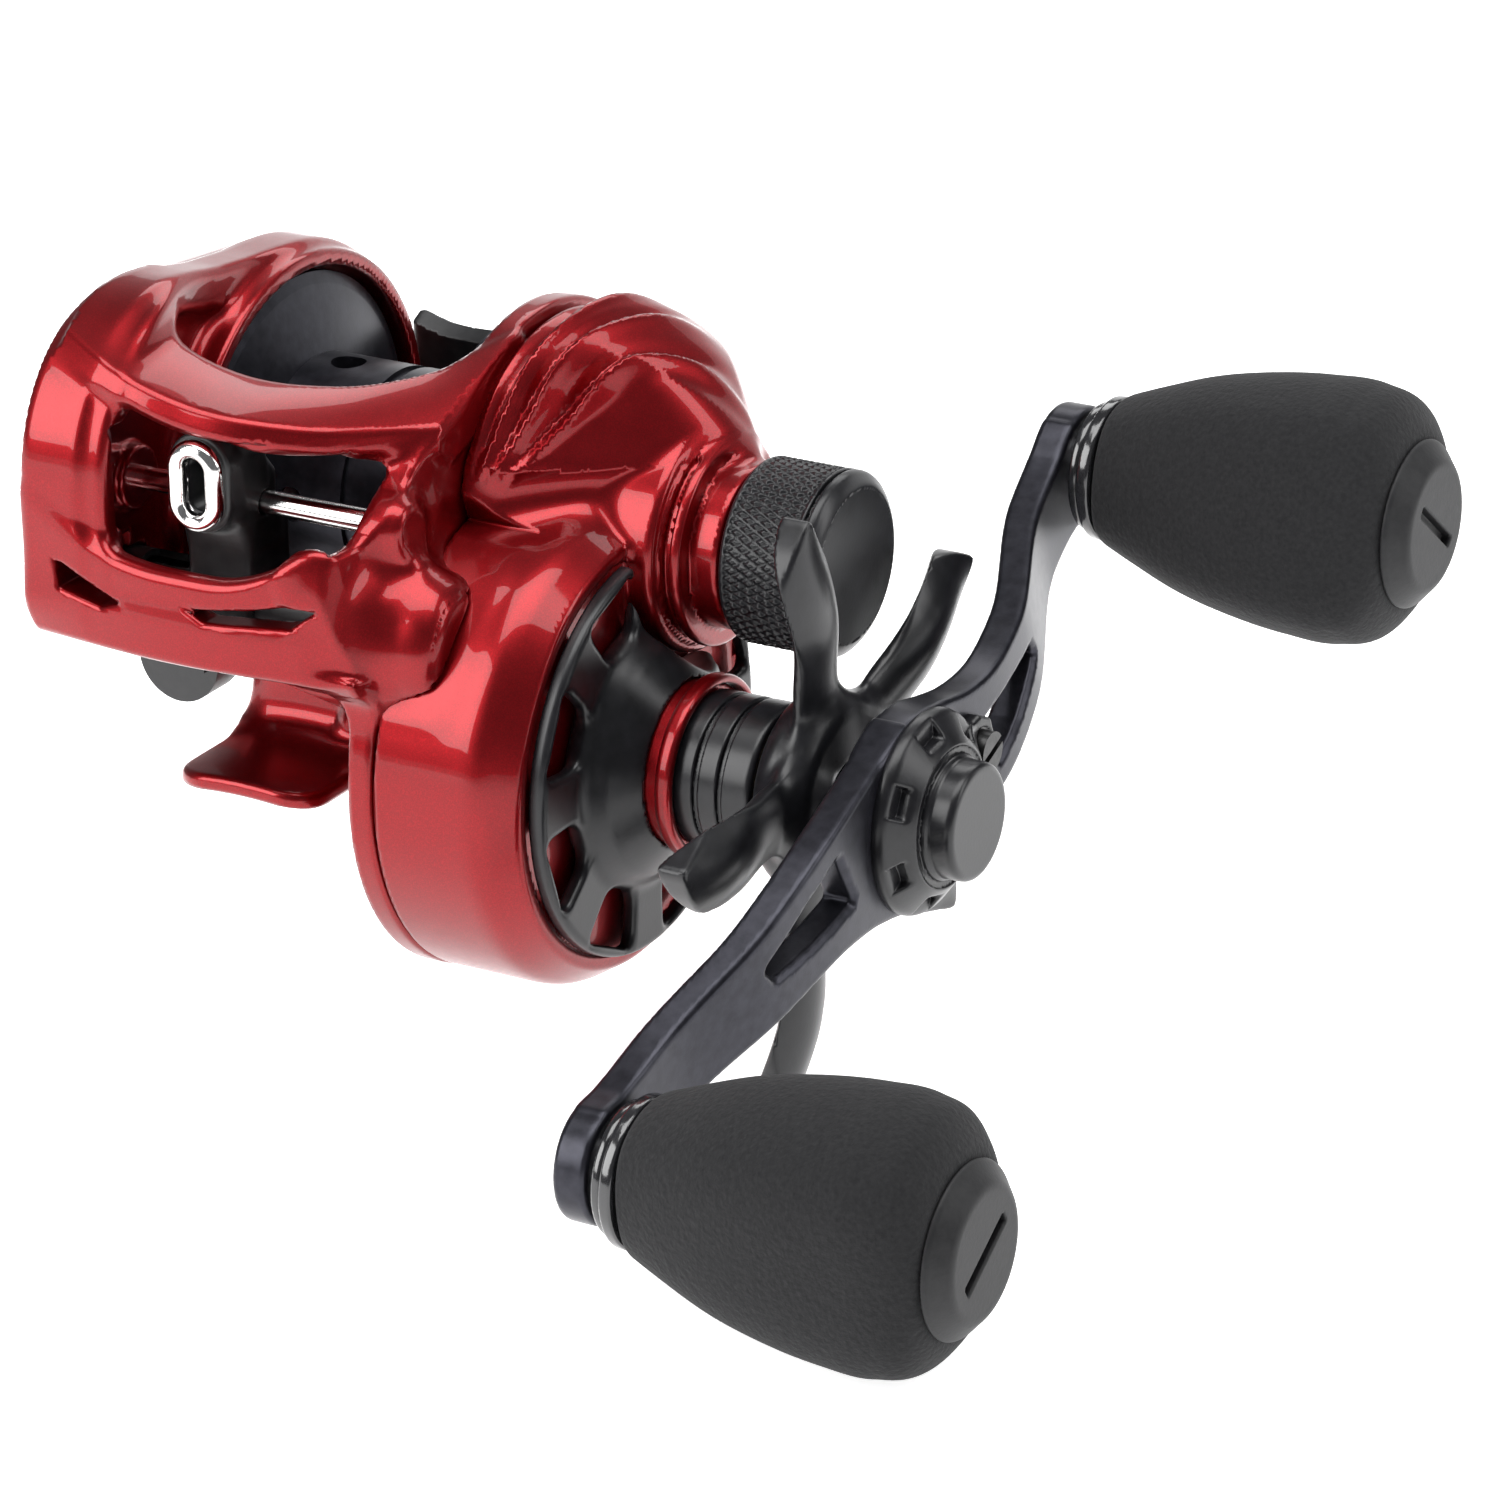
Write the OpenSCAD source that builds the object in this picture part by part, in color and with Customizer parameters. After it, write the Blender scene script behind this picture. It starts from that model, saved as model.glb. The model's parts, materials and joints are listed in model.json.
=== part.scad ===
// Low-profile baitcasting reel, right-hand handle.
// Frame: origin at the centre of the foot's underside, +X towards the handle,
// -Y towards the rod tip (line guide side), +Z up, away from the rod.

/* [Layout] */
// Fore-and-aft place of the spool axis
spool_y = -1.2; // [-1.6:0.1:-0.8]
// Height of the spool axis above the foot's underside
spool_z = 19.5; // [19.4:0.1:20]
// Fore-and-aft place of the main shaft axis
main_y = -10; // [-10.4:0.1:-9.6]
// Height of the main shaft axis
main_z = 3.5; // [3.3:0.1:3.8]

/* [Foot] */
// Length of the foot along the rod
foot_len = 57; // [54:0.5:60]
// Width of the foot
foot_w = 14; // [12:0.5:15]
// Thickness of the foot's tongues
foot_t = 2.3; // [2:0.1:2.4]

/* [Spool] */
// Radius of the spool flanges
flange_r = 16.1; // [15:0.1:16.1]
// Outer width of the spool over its flanges
spool_w = 24; // [23:0.5:24]
// Radius of the spool arbor
arbor_r = 9.6; // [8:0.1:10.5]
// Radius of the spool shaft's thin end
shaft_r = 1.25; // [1.2:0.01:1.25]

/* [Gears] */
// Teeth on the main gear
main_teeth = 73; // [73:73]
// Teeth on the pinion
pinion_teeth = 11; // [11:11]
// Teeth on the levelwind drive gear, the idler and the worm gear
wind_teeth = [26, 20, 10];
// Tooth size of the levelwind gears
wind_module = 0.5; // [0.49:0.01:0.51]

/* [Handle] */
// Distance from the main shaft to each knob's axis
handle_r = 42.5; // [40:0.5:45]
// Angle of the handle above the +Y axis
handle_a = 21.8; // [0:0.1:40]
// Thickness of the handle arm
arm_t = 3; // [2.6:0.1:3.2]
// Length of a knob's grip
grip_len = 27; // [24:0.5:29]
// Largest radius of a grip
grip_r = 10.6; // [9:0.1:11]

/* [Shells] */
// Radius of the gear drum
drum_r = 20.3; // [20:0.1:20.5]
// Outer radius of the frame's spool ring
ring_r = 18.4; // [18.2:0.1:18.8]
// Wall thickness of the covers
wall = 1.5; // [1.3:0.1:1.6]

/* [Hidden] */
$fn = 96;

paint = [0.66, 0.03, 0.05];
black = [0.1, 0.1, 0.11];
anodised = [0.2, 0.2, 0.23];
steel = [0.75, 0.75, 0.77];
brass = [0.76, 0.62, 0.3];

run_gap = 0.05;     // radial clearance of a shaft in its bearing
air = 0.4;          // clearance between parts that only pass each other

// Stations along X, from the palm side to the handle side
ring_x = 9.5;       // inner face of both spool rings
ring_end = 14.6;    // outer face of the palm-side ring
plate_x = [12.4, 14.2];
cover_x = 14.4;     // seam between frame and handle-side cover
drum_x = 23.8;      // end of the drum's straight face
rim_x = 27;         // outer face of the cover around the vent ring
ring_face = 28.5;   // outer face of the vent ring
collar_x = [33.9, 41.3];
star_x = [41.7, 47];
arm_face = 53.2;    // outer face of the handle arm at its hub
arm_drop = 4.9;     // how far the arm's ends sweep back towards the reel
palm_x = -14.8;     // seam between frame and palm-side cover
palm_end = -24;

// Line guide
bar_y = -24; bar_z = 25.3; bar_r = 1;
worm_y = -23.5; worm_z = 15.8; worm_r = 2;
worm_case_r = 4.4;  // pocket around the worm's gear
guide_x = -2;       // rest place of the line guide
nose_y = -24.5; nose_z = 22.5; nose_r = 9.2;

// Gear geometry
centre_d = norm([spool_y - main_y, spool_z - main_z]);
mesh_a = atan2(spool_z - main_z, spool_y - main_y);
main_module = 2 * centre_d / (main_teeth + pinion_teeth);
pinion_root = pinion_teeth * main_module / 2 - main_module;
wind_r = [for (n = wind_teeth) n * wind_module / 2];
gear_gap = 0.06;    // extra spacing of the levelwind gears
// The idler sits where its two centre distances cross
wind_d = norm([worm_y - main_y, worm_z - main_z]);
leg_a = wind_r[0] + wind_r[1] + gear_gap;
leg_b = wind_r[1] + wind_r[2] + gear_gap;
along = (leg_a * leg_a - leg_b * leg_b + wind_d * wind_d) / (2 * wind_d);
aside = sqrt(leg_a * leg_a - along * along);
wind_a = atan2(worm_z - main_z, worm_y - main_y);
idler_a = wind_a + atan2(aside, along);
idler_y = main_y + leg_a * cos(idler_a);
idler_z = main_z + leg_a * sin(idler_a);
worm_a = atan2(worm_z - idler_z, worm_y - idler_y);

// Straight cylinder along X
module bar_x(r, x0, x1, y = 0, z = 0, sides = 96)
    translate([x0, y, z]) rotate([0, 90, 0]) cylinder(h = x1 - x0, r = r, $fn = sides);

// Tube along X
module tube_x(ro, ri, x0, x1, y = 0, z = 0)
    difference() {
        bar_x(ro, x0, x1, y, z);
        bar_x(ri, x0 - 1, x1 + 1, y, z);
    }

// Flat YZ outline given thickness along X
module slab_x(x0, x1)
    translate([x0, 0, 0]) rotate([90, 0, 90]) linear_extrude(height = x1 - x0) children();

// Solid of revolution about X from a list of [x, radius] points
module turned(points, y = 0, z = 0)
    translate([0, y, z]) rotate([0, 90, 0]) rotate_extrude()
        polygon([for (p = points) [p[1], p[0]]]);

module at_main() { translate([0, main_y, main_z]) children(); }
module at_spool() { translate([0, spool_y, spool_z]) children(); }
module at_knob(side)
    at_main() rotate([handle_a, 0, 0]) translate([0, side * handle_r, 0]) children();

// Two circles and the band between their outer tangents, in YZ
module pair2d(y1, z1, r1, y2, z2, r2) {
    d = norm([y2 - y1, z2 - z1]);
    base = atan2(z2 - z1, y2 - y1);
    lean = acos((r1 - r2) / d);
    translate([y1, z1]) circle(r = r1);
    translate([y2, z2]) circle(r = r2);
    polygon([
        [y1 + r1 * cos(base + lean), z1 + r1 * sin(base + lean)],
        [y1 + r1 * cos(base - lean), z1 + r1 * sin(base - lean)],
        [y2 + r2 * cos(base - lean), z2 + r2 * sin(base - lean)],
        [y2 + r2 * cos(base + lean), z2 + r2 * sin(base + lean)]
    ]);
}

// Side view of the body: spool ring, nose and, on the handle side, the drum
module nose2d(inset = 0)
    pair2d(spool_y, spool_z, ring_r - inset, nose_y, nose_z, nose_r - inset);
module gearcase2d(inset = 0)
    pair2d(spool_y, spool_z, 17 - inset, main_y, main_z, drum_r - inset);

// Straight-sided gear teeth about the origin, first tooth on the first axis
module gear2d(teeth, size, phase = 0) {
    pitch = teeth * size / 2;
    root = pitch - size;
    tip = pitch + 0.7 * size;
    half_root = 0.75 * size;
    half_tip = 0.32 * size;
    polygon([
        for (i = [0 : teeth - 1], c = [[root, -half_root], [tip, -half_tip], [tip, half_tip], [root, half_root]])
            let (a = phase + 360 * i / teeth + c[1] / c[0] * 180 / PI)
            [c[0] * cos(a), c[0] * sin(a)]
    ]);
}

// ---- Frame -----------------------------------------------------------------

module foot() {
    arch_r = 12;
    arch_rise = 0.9;
    difference() {
        union() {
            translate([-foot_w / 2, -foot_len / 2, 0]) cube([foot_w, foot_len, foot_t]);
            translate([-5.6, -16, 0]) cube([11.2, 30, 4]);
        }
        // Arched underside of both tongues, hollow to fit a rod's reel seat
        for (s = [-1, 1])
            translate([0, s * (foot_len / 2 + 13) - 15, arch_rise - arch_r])
                rotate([-90, 0, 0]) cylinder(h = 30, r = arch_r);
        // Rounded corners
        for (sx = [-1, 1], sy = [-1, 1])
            translate([sx * (foot_w / 2 - 3), sy * (foot_len / 2 - 3), -1])
                difference() {
                    translate([sx < 0 ? -4 : 0, sy < 0 ? -4 : 0, 0]) cube([4, 4, 8]);
                    cylinder(h = 20, r = 3, center = true);
                }
    }
}

// Curved front bar and bridge share this plan: a wide arc about a point behind
module arc_band(r_out, depth, z0, z1, x0, x1, y_front) {
    intersection() {
        translate([x0, -60, z0]) cube([x1 - x0, 60, z1 - z0]);
        difference() {
            translate([0, y_front + r_out, z0]) cylinder(h = z1 - z0, r = r_out);
            translate([0, y_front + r_out, z0 - 1]) cylinder(h = z1 - z0 + 2, r = r_out - depth);
        }
    }
}

module frame() color(paint) {
    slot_z = 18;
    difference() {
        union() {
            // Palm-side wall with its spool ring
            slab_x(-ring_end, -11.4) nose2d();
            bar_x(ring_r, -ring_end, -ring_x, spool_y, spool_z);
            // Handle-side wall with its spool ring and the back of the gear drum
            slab_x(plate_x[0], plate_x[1]) { nose2d(); gearcase2d(); }
            bar_x(ring_r, ring_x, plate_x[1], spool_y, spool_z);
            // Front bar below the line window, bridge above it, bar at the rear
            arc_band(60, 2.6, 14, 22, -ring_end, plate_x[1], -33.4);
            slab_x(-ring_end, plate_x[1])
                polygon([[-29.5, 31.8], [-27, 31], [-19.5, 36.2], [-17.5, 38.4], [-20.5, 38.2], [-28.8, 34.4]]);
            slab_x(-ring_end, plate_x[1])
                polygon([[10.2, 3], [15.2, 7.4], [16.6, 9.8], [14.6, 10.6], [9.4, 4.6]]);
            // Floor under the spool, and the pillar up to the front bar
            slab_x(-ring_end, plate_x[1])
                polygon([[-30, 14], [-31.8, 14], [-17, 5.4], [-15.6, 2.4], [10.8, 2.4], [13, 5], [8, 5], [-14.8, 8]]);
            foot();
            // Bosses
            bar_x(2.4, -11.6, -11, bar_y, bar_z);
            bar_x(5.8, plate_x[0], 15.9, main_y, main_z);
            bar_x(1.5, plate_x[0], 16.6, idler_y, idler_z);
            // Pocket for the worm's gear, open towards the idler
            bar_x(worm_case_r, plate_x[0], 19.1, worm_y, worm_z);
        }
        bar_x(worm_case_r - 1, 16.2, 18.5, worm_y, worm_z);
        bar_x(5.7, 16.5, 19.7, idler_y, idler_z);
        release_recess();
        // Room for the spool and its bore out to the palm side
        bar_x(ring_r - 1.8, -30, plate_x[0], spool_y, spool_z);
        bar_x(5, -30, 30, spool_y, spool_z);
        // Bearing pocket and clearance hole of the main shaft
        bar_x(4.5, 13.2, 16.9, main_y, main_z);
        // Guide bar and worm seats
        bar_x(bar_r, -14.1, 13.9, bar_y, bar_z);
        bar_x(3, -15, 17, worm_y, worm_z);
        // Two vent slots in the front bar
        translate([-14, -36, slot_z - 0.9]) cube([5.4, 8, 1.8]);
        translate([-1.8, -36, slot_z - 0.9]) cube([11, 8, 1.8]);
        // Window in the palm-side wall behind the line guide
        bar_x(2.6, -30, -5, -17.6, 33.4);
    }
    // Idler's pin
    bar_x(0.9, 16.4, 18.4, idler_y, idler_z);
}

module yoke_place(s) at_spool() rotate([mesh_a, 0, 0]) translate([0, 2, s * 6.5]) children();

module yoke_posts() color(steel) for (s = [-1, 1]) yoke_place(s) bar_x(0.8, plate_x[1], 24.7, 0, 0);

module yoke_springs() color(steel) for (s = [-1, 1]) yoke_place(s) tube_x(1.7, 1.1, 17.7, 24.4, 0, 0);

module guide_bar() color(steel) bar_x(bar_r, -14.1, 13.9, bar_y, bar_z);

// Slotted tube around the worm; the pawl reaches in from behind
module worm_cover() color(black)
    difference() {
        tube_x(3, worm_r + 0.45, -13.6, 14.1, worm_y, worm_z);
        translate([-10.8, worm_y - 1.4, worm_z]) cube([22.6, 2.8, 5]);
    }

module main_shaft_bearing() color(steel) tube_x(4.5, 2.5 + run_gap, 13.2, 15.8, main_y, main_z);

release_x = -11.6;
release_z = 7.6;
release_r = 3.9;
module release_knob() color(black)
    translate([release_x, 0, release_z]) rotate([90, 0, 0]) {
        translate([0, 0, 15.4]) cylinder(h = 3.6, r = release_r);
        translate([-3, -0.6, 18.8]) cube([6, 1.2, 0.9]);
    }
module release_recess()
    translate([release_x, 0, release_z]) rotate([90, 0, 0]) translate([0, 0, 15]) cylinder(h = 20, r = release_r + air);

// ---- Handle-side cover and what it holds -----------------------------------

module cover_outside() {
    turned([[cover_x, 0], [cover_x, drum_r], [drum_x, drum_r], [26.2, 19.2], [rim_x, 18.2], [rim_x, 0]], main_y, main_z);
    turned([[cover_x, 0], [cover_x, 17], [18.5, 16.6], [22, 15], [25, 12.2], [27.5, 8.8], [29, 8], [31.4, 8],
            [31.6, 7], [33.8, 7], [33.8, 0]], spool_y, spool_z);
    slab_x(cover_x, 21) gearcase2d(0.2);
    bar_x(5.6, 33, 38.6, spool_y, spool_z);
    bar_x(6.9, 26, collar_x[0], main_y, main_z);
}

module handle_side_cover() color(paint)
    difference() {
        cover_outside();
        // Inside of the gear case
        turned([[cover_x - 1, 0], [cover_x - 1, drum_r - wall], [drum_x - 0.4, drum_r - wall], [25.2, 17.4], [25.2, 0]],
               main_y, main_z);
        turned([[cover_x - 1, 0], [cover_x - 1, 17 - wall], [18, 15], [21.4, 13.2], [24, 10.6], [24.8, 9], [24.8, 0]],
               spool_y, spool_z);
        slab_x(cover_x - 1, 19.6) gearcase2d(wall + 0.3);
        // Opening for the frame's worm gear pocket
        bar_x(worm_case_r + air, cover_x - 1, 19.5, worm_y, worm_z);
        // Seats: one-way bearing, pinion bearing, tension bearing, spool shaft
        bar_x(6, 25, 32, main_y, main_z);
        bar_x(4.3, 30, 40, main_y, main_z);
        bar_x(4, 24, 26.9, spool_y, spool_z);
        bar_x(2.4, 24, 32, spool_y, spool_z);
        bar_x(3.5, 31, 40, spool_y, spool_z);
        // Recess behind the vent ring
        tube_x(16.6, 11.4, rim_x - 0.9, rim_x + 1, main_y, main_z);
        // Counterbores of the screws
        for (p = screw_spots) bar_x(2, screw_x, 30, p[0], p[1]);
    }

// Screws stand in bosses round the rim of the spool side
screw_x = 21.4;
screw_spots = [for (a = [20, -35]) [spool_y + 14.4 * cos(a), spool_z + 14.4 * sin(a)]];

module cover_screws() color(anodised)
    for (p = screw_spots)
        difference() {
            bar_x(1.9, screw_x, 22.8, p[0], p[1]);
            bar_x(0.9, 22, 24, p[0], p[1], 6);
        }

// Black ring with eleven windows around a raised collar
module vent_ring() color(black)
    difference() {
        turned([[rim_x, 7], [rim_x, 17.05], [ring_face - 0.3, 17.05], [ring_face, 16.7], [ring_face, 11.2],
                [30.2, 10.8], [32, 9.9], [33, 8.4], [33, 7]], main_y, main_z);
        // Room for the tension knob's boss
        bar_x(9.8, rim_x - 1, 40, spool_y, spool_z);
        at_main() for (i = [0 : 10])
            rotate([i * 360 / 11 + 8, 0, 0])
                slab_x(rim_x - 1, ring_face + 1)
                    polygon([[12.1, -1.7], [15.8, -2.6], [15.8, 2.6], [12.1, 1.7]]);
    }

module trim_ring() color(paint) tube_x(7.6, 6.9, 33.1, 34.6, main_y, main_z);

module shaft_collar() color(black)
    difference() {
        turned([[collar_x[0], 0], [collar_x[0], 6.5], [36.2, 6.5], [36.3, 6.3], [38.4, 6.3], [38.5, 6.1],
                [collar_x[1], 6.1], [collar_x[1], 0]], main_y, main_z);
        bar_x(4.3, 30, 45, main_y, main_z);
        bar_x(6.9, 30, 33.9, main_y, main_z);
    }

module one_way_bearing() color(steel) tube_x(6, 3.9 + run_gap, 25, 31.6, main_y, main_z);
module pinion_bearing() color(steel) tube_x(4, 2 + run_gap, 24.9, 26.9, spool_y, spool_z);
module tension_bearing() color(steel) tube_x(3.5, shaft_r + run_gap, 31, 33.2, spool_y, spool_z);

// ---- Palm-side cover and brake ----------------------------------------------

module palm_outside() {
    turned([[palm_x, 0], [palm_x, ring_r], [-17, ring_r - 0.3], [-20, 16.4], [-22.4, 13.6], [palm_end, 10], [palm_end, 0]],
           spool_y, spool_z);
    slab_x(-20.4, palm_x) nose2d(0.6);
}

module palm_side_cover() color(paint)
    difference() {
        union() {
            difference() {
                palm_outside();
                turned([[palm_x + 1, 0], [palm_x + 1, 16.6], [-17, 16.4], [-19.6, 15], [-21.4, 12.4], [-22.4, 10],
                        [-22.4, 0]], spool_y, spool_z);
                slab_x(-19, palm_x + 1) nose2d(2.6);
            }
            bar_x(5.4, -23, -15.4, spool_y, spool_z);
        }
        bar_x(4, -19, -14, spool_y, spool_z);
        bar_x(2 + run_gap, -30, -14, spool_y, spool_z);
        release_recess();
    }

module spool_bearing() color(steel) tube_x(4, 1.5 + run_gap, -18.4, -15.9, spool_y, spool_z);

module brake_dial() color(black)
    difference() {
        union() {
            turned([[-25.9, 0], [-25.9, 7.2], [-25.4, 7.8], [palm_end - 0.15, 7.8], [palm_end - 0.15, 0]], spool_y, spool_z);
            bar_x(2, -24.2, -19.4, spool_y, spool_z);
        }
        at_spool() for (i = [0 : 17]) rotate([i * 20, 0, 0]) bar_x(0.45, -27, -24, 8, 0);
    }

module magnet_ring() color(steel)
    tube_x(10.4, 8.8, -21, -18.8, spool_y, spool_z);

// ---- Spool -------------------------------------------------------------------

module spool() color(black)
    difference() {
        turned([[-spool_w / 2, 3.4], [-spool_w / 2, flange_r - 1], [-spool_w / 2 + 0.4, flange_r], [-spool_w / 2 + 1.4, flange_r],
                [-spool_w / 2 + 1.8, flange_r - 1], [-8.6, arbor_r], [8.6, arbor_r],
                [spool_w / 2 - 1.8, flange_r - 1], [spool_w / 2 - 1.4, flange_r], [spool_w / 2 - 0.4, flange_r],
                [spool_w / 2, flange_r - 1], [spool_w / 2, 3.4],
                [1.4, 1.5], [-1.4, 1.5]], spool_y, spool_z);
        // Hollow on both sides of the centre web
        for (s = [-1, 1])
            turned([[s * 13, 0], [s * 13, 13.6], [s * 10.6, 12.6], [s * 8, 8.6], [s * 1, 8.2], [s * 1, 3], [s * 3, 2.6], [s * 3, 0]],
                   spool_y, spool_z);
        // Ports around the arbor, and a groove for the line knot
        at_spool() for (x = [-5.4, 5.4], i = [0 : 7])
            rotate([i * 45 + (x > 0 ? 22.5 : 0), 0, 0]) translate([x, 0, 0]) cylinder(h = 12, r = 1.5);
        tube_x(12, arbor_r - 0.4, -0.5, 0.5, spool_y, spool_z);
        bar_x(1.5, -20, 20, spool_y, spool_z);
    }

module spool_shaft() color(steel) {
    bar_x(1.5, -18.2, 13.6, spool_y, spool_z);
    bar_x(shaft_r, 13.6, 34.4, spool_y, spool_z);
    at_spool() translate([15, 0, -2.5]) cylinder(h = 5, r = 0.4);
}

module brake_rotor() color(steel)
    difference() {
        tube_x(8.2, 1.5, -15.2, -12.2, spool_y, spool_z);
        bar_x(7.6, -16, -12.9, spool_y, spool_z);
    }

// ---- Main shaft, gears and drag ----------------------------------------------

module main_shaft() color(steel) {
    bar_x(2.5, 13.3, 49.8, main_y, main_z);
    bar_x(3.5, 15.9, 16.3, main_y, main_z);
    bar_x(2.5, 49.8, 56.8, main_y, main_z);
}

module main_gear() color(brass)
    difference() {
        union() {
            at_main() slab_x(19.4, 21.8) gear2d(main_teeth, main_module, mesh_a);
            bar_x(12.8, 21.6, 24.4, main_y, main_z);
        }
        bar_x(2.5, 15, 30, main_y, main_z);
        bar_x(11.6, 21.2, 26, main_y, main_z);
        at_main() for (i = [0 : 5]) rotate([i * 60, 0, 0]) bar_x(2.2, 15, 22, 7.4, 0);
    }

module pinion() color(brass)
    difference() {
        union() {
            bar_x(2.9, 14.3, 16.2, spool_y, spool_z);
            bar_x(pinion_root, 16.1, 17.5, spool_y, spool_z);
            at_spool() slab_x(17.4, 23) gear2d(pinion_teeth, main_module, mesh_a + 180 + 180 / pinion_teeth);
            bar_x(2, 23, 26.6, spool_y, spool_z);
        }
        bar_x(shaft_r + run_gap, 10, 30, spool_y, spool_z);
        // Slot that grips the cross pin of the spool shaft
        at_spool() translate([14, -0.5, -4]) cube([1.6, 1, 8]);
    }

module levelwind_drive_gear() color("ivory")
    difference() {
        at_main() slab_x(16.4, 18.1) gear2d(wind_teeth[0], wind_module, idler_a);
        bar_x(2.5, 10, 20, main_y, main_z);
    }

idler_phase = idler_a + 180 + 180 / wind_teeth[1];
// The worm gear has a gap where an idler tooth points at it
idler_turn = (worm_a - idler_phase) * wind_teeth[1] / 360;
worm_phase = worm_a + 180 + (0.5 - (idler_turn - floor(idler_turn))) * -360 / wind_teeth[2];

module idler_gear() color("ivory")
    translate([0, idler_y, idler_z])
        difference() {
            slab_x(16.7, 18.3) gear2d(wind_teeth[1], wind_module, idler_phase);
            bar_x(0.9 + run_gap, 10, 20, 0, 0);
        }

module worm_gear() color("ivory")
    translate([0, worm_y, worm_z])
        difference() {
            slab_x(16.5, 18.3) gear2d(wind_teeth[2], wind_module, worm_phase);
            bar_x(1.2, 10, 20, 0, 0);
        }

// Ring grooves stand in for the worm's crossed helical groove
module worm_shaft() color(steel) {
    groove = [for (i = [0 : 8]) let (x = -9.6 + i * 2.4) each [[x, worm_r], [x + 0.4, worm_r - 0.5], [x + 1.2, worm_r - 0.5], [x + 1.6, worm_r]]];
    turned(concat([[-12.4, 0], [-12.4, worm_r]], groove, [[13.4, worm_r], [13.4, 1.2], [18.4, 1.2], [18.4, 0]]), worm_y, worm_z);
}

module ratchet() color(steel)
    difference() {
        at_main() slab_x(18.4, 19.1) gear2d(24, 0.56);
        bar_x(2.5, 10, 20, main_y, main_z);
    }

module drag_washers() color(black)
    for (x = [21.3, 22.4, 23.5]) tube_x(11.3, 2.5, x, x + 0.8, main_y, main_z);

module clutch_sleeve() color(steel) tube_x(3.9, 2.5, 24.5, 41, main_y, main_z);

// ---- Star drag ----------------------------------------------------------------

star_tip = 25.6;
module star_arm2d(a)
    rotate(a) polygon([[5, 3.4], [9, 2.9], [12.5, 2.4], [16, 2.6], [19.5, 3.9], [star_tip - 1, 1.4], [star_tip, 0.6],
                       [star_tip, -0.6], [star_tip - 1, -1.2], [19.5, -2.9], [15.5, -2.9], [11, -3], [5, -4]]);

module star_drag() color(black)
    difference() {
        union() {
            turned([[star_x[0], 0], [star_x[0], 6.6], [43.6, 8.4], [46.4, 8.4], [star_x[1], 7.6], [star_x[1], 0]], main_y, main_z);
            at_main() slab_x(43.9, 46.5) for (i = [0 : 4]) star_arm2d(30 + i * 72);
        }
        bar_x(2.5 + air, 40, 50, main_y, main_z);
        bar_x(4.7, star_x[0] - 1, 45, main_y, main_z);
    }

module star_nut() color(brass) tube_x(4.7, 2.5 + run_gap, star_x[0], 44.8, main_y, main_z);

// ---- Handle -------------------------------------------------------------------

// Front view of one half of the arm: root, waist and eye, with a tapered slot
module arm_half2d() {
    difference() {
        union() {
            circle(r = 8);
            translate([handle_r, 0]) circle(r = 4.9);
            polygon([[0, 8], [5.6, 6], [10, 3.9], [14, 2.5], [20, 2.1], [26, 2.5], [32, 3.1], [38, 3.7], [handle_r - 1, 4.8],
                     [handle_r - 1, -4.8], [37, -4.3], [31, -4.6], [25, -6], [19, -7.5], [13, -8.3], [6, -8.2], [0, -8]]);
        }
        polygon([[11.4, -0.6], [17, -1.1], [22.6, -1.9], [23.4, -2.8], [22.4, -3.6], [17, -5.2], [12, -5.8]]);
    }
}

// Edge view of one half of the arm: flat hub, sloping sweep, flat eye
module arm_edge2d(s)
    polygon([for (p = [[0, 0], [17, 0], [21, -0.5], [33, -4.4], [37, -arm_drop], [48, -arm_drop],
                       [48, -arm_drop - arm_t], [36.6, -arm_drop - arm_t], [32.6, -4.4 - arm_t], [20.6, -0.5 - arm_t],
                       [16.8, -arm_t], [0, -arm_t]]) [arm_face + p[1], s * p[0]]]);

module handle_arm() color(anodised)
    at_main() rotate([handle_a, 0, 0])
        difference() {
            for (s = [0, 1])
                intersection() {
                    rotate([s * 180, 0, 0]) slab_x(40, 60) arm_half2d();
                    translate([0, 0, -20]) linear_extrude(height = 40) arm_edge2d(s == 0 ? 1 : -1);
                }
            bar_x(2.5, 40, 60, 0, 0);
            for (s = [-1, 1]) bar_x(spindle_r, 40, 60, s * handle_r, 0);
            bar_x(lock_r, 40, 60, lock_at[0], lock_at[1]);
        }

// Small screw that locks the nut's retainer to the arm
lock_at = [8.6, -0.8];
lock_r = 0.9;
module handle_nut() color(anodised)
    difference() {
        bar_x(5.4, arm_face, 55.8, main_y, main_z, 6);
        bar_x(2.5, 50, 60, main_y, main_z);
    }

// Domed, notched cover that locks the nut, with a round cap in its centre
module nut_retainer() color(black)
    at_main() difference() {
        union() {
            turned([[arm_face, 0], [arm_face, 8.5], [54.2, 8.5], [56.4, 6.2], [57.4, 5], [58.4, 4.9], [58.8, 4.4], [58.8, 0]]);
            rotate([handle_a, 0, 0]) slab_x(arm_face, 54.4) polygon([[6, -4], [10.4, -2.4], [10.6, 1], [6, 3]]);
        }
        turned([[50, 0], [50, 6], [55.9, 6], [55.9, 3], [57.4, 3], [57.4, 0]]);
        for (i = [0 : 6]) rotate([i * 360 / 7 + 50, 0, 0]) translate([54.4, 6.3, -1]) cube([3, 3, 2]);
        rotate([handle_a, 0, 0]) {
            bar_x(lock_r, 50, 60, lock_at[0], lock_at[1]);
            bar_x(1.9, 54.4, 60, lock_at[0], lock_at[1]);
        }
    }

module retainer_screw() color(steel)
    at_main() rotate([handle_a, 0, 0])
        difference() {
            union() {
                bar_x(lock_r, 51, 54.5, lock_at[0], lock_at[1]);
                bar_x(1.7, 54.4, 55.6, lock_at[0], lock_at[1]);
            }
            translate([55.2, 6.6, -1.1]) cube([1, 4, 0.6]);
        }

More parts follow.
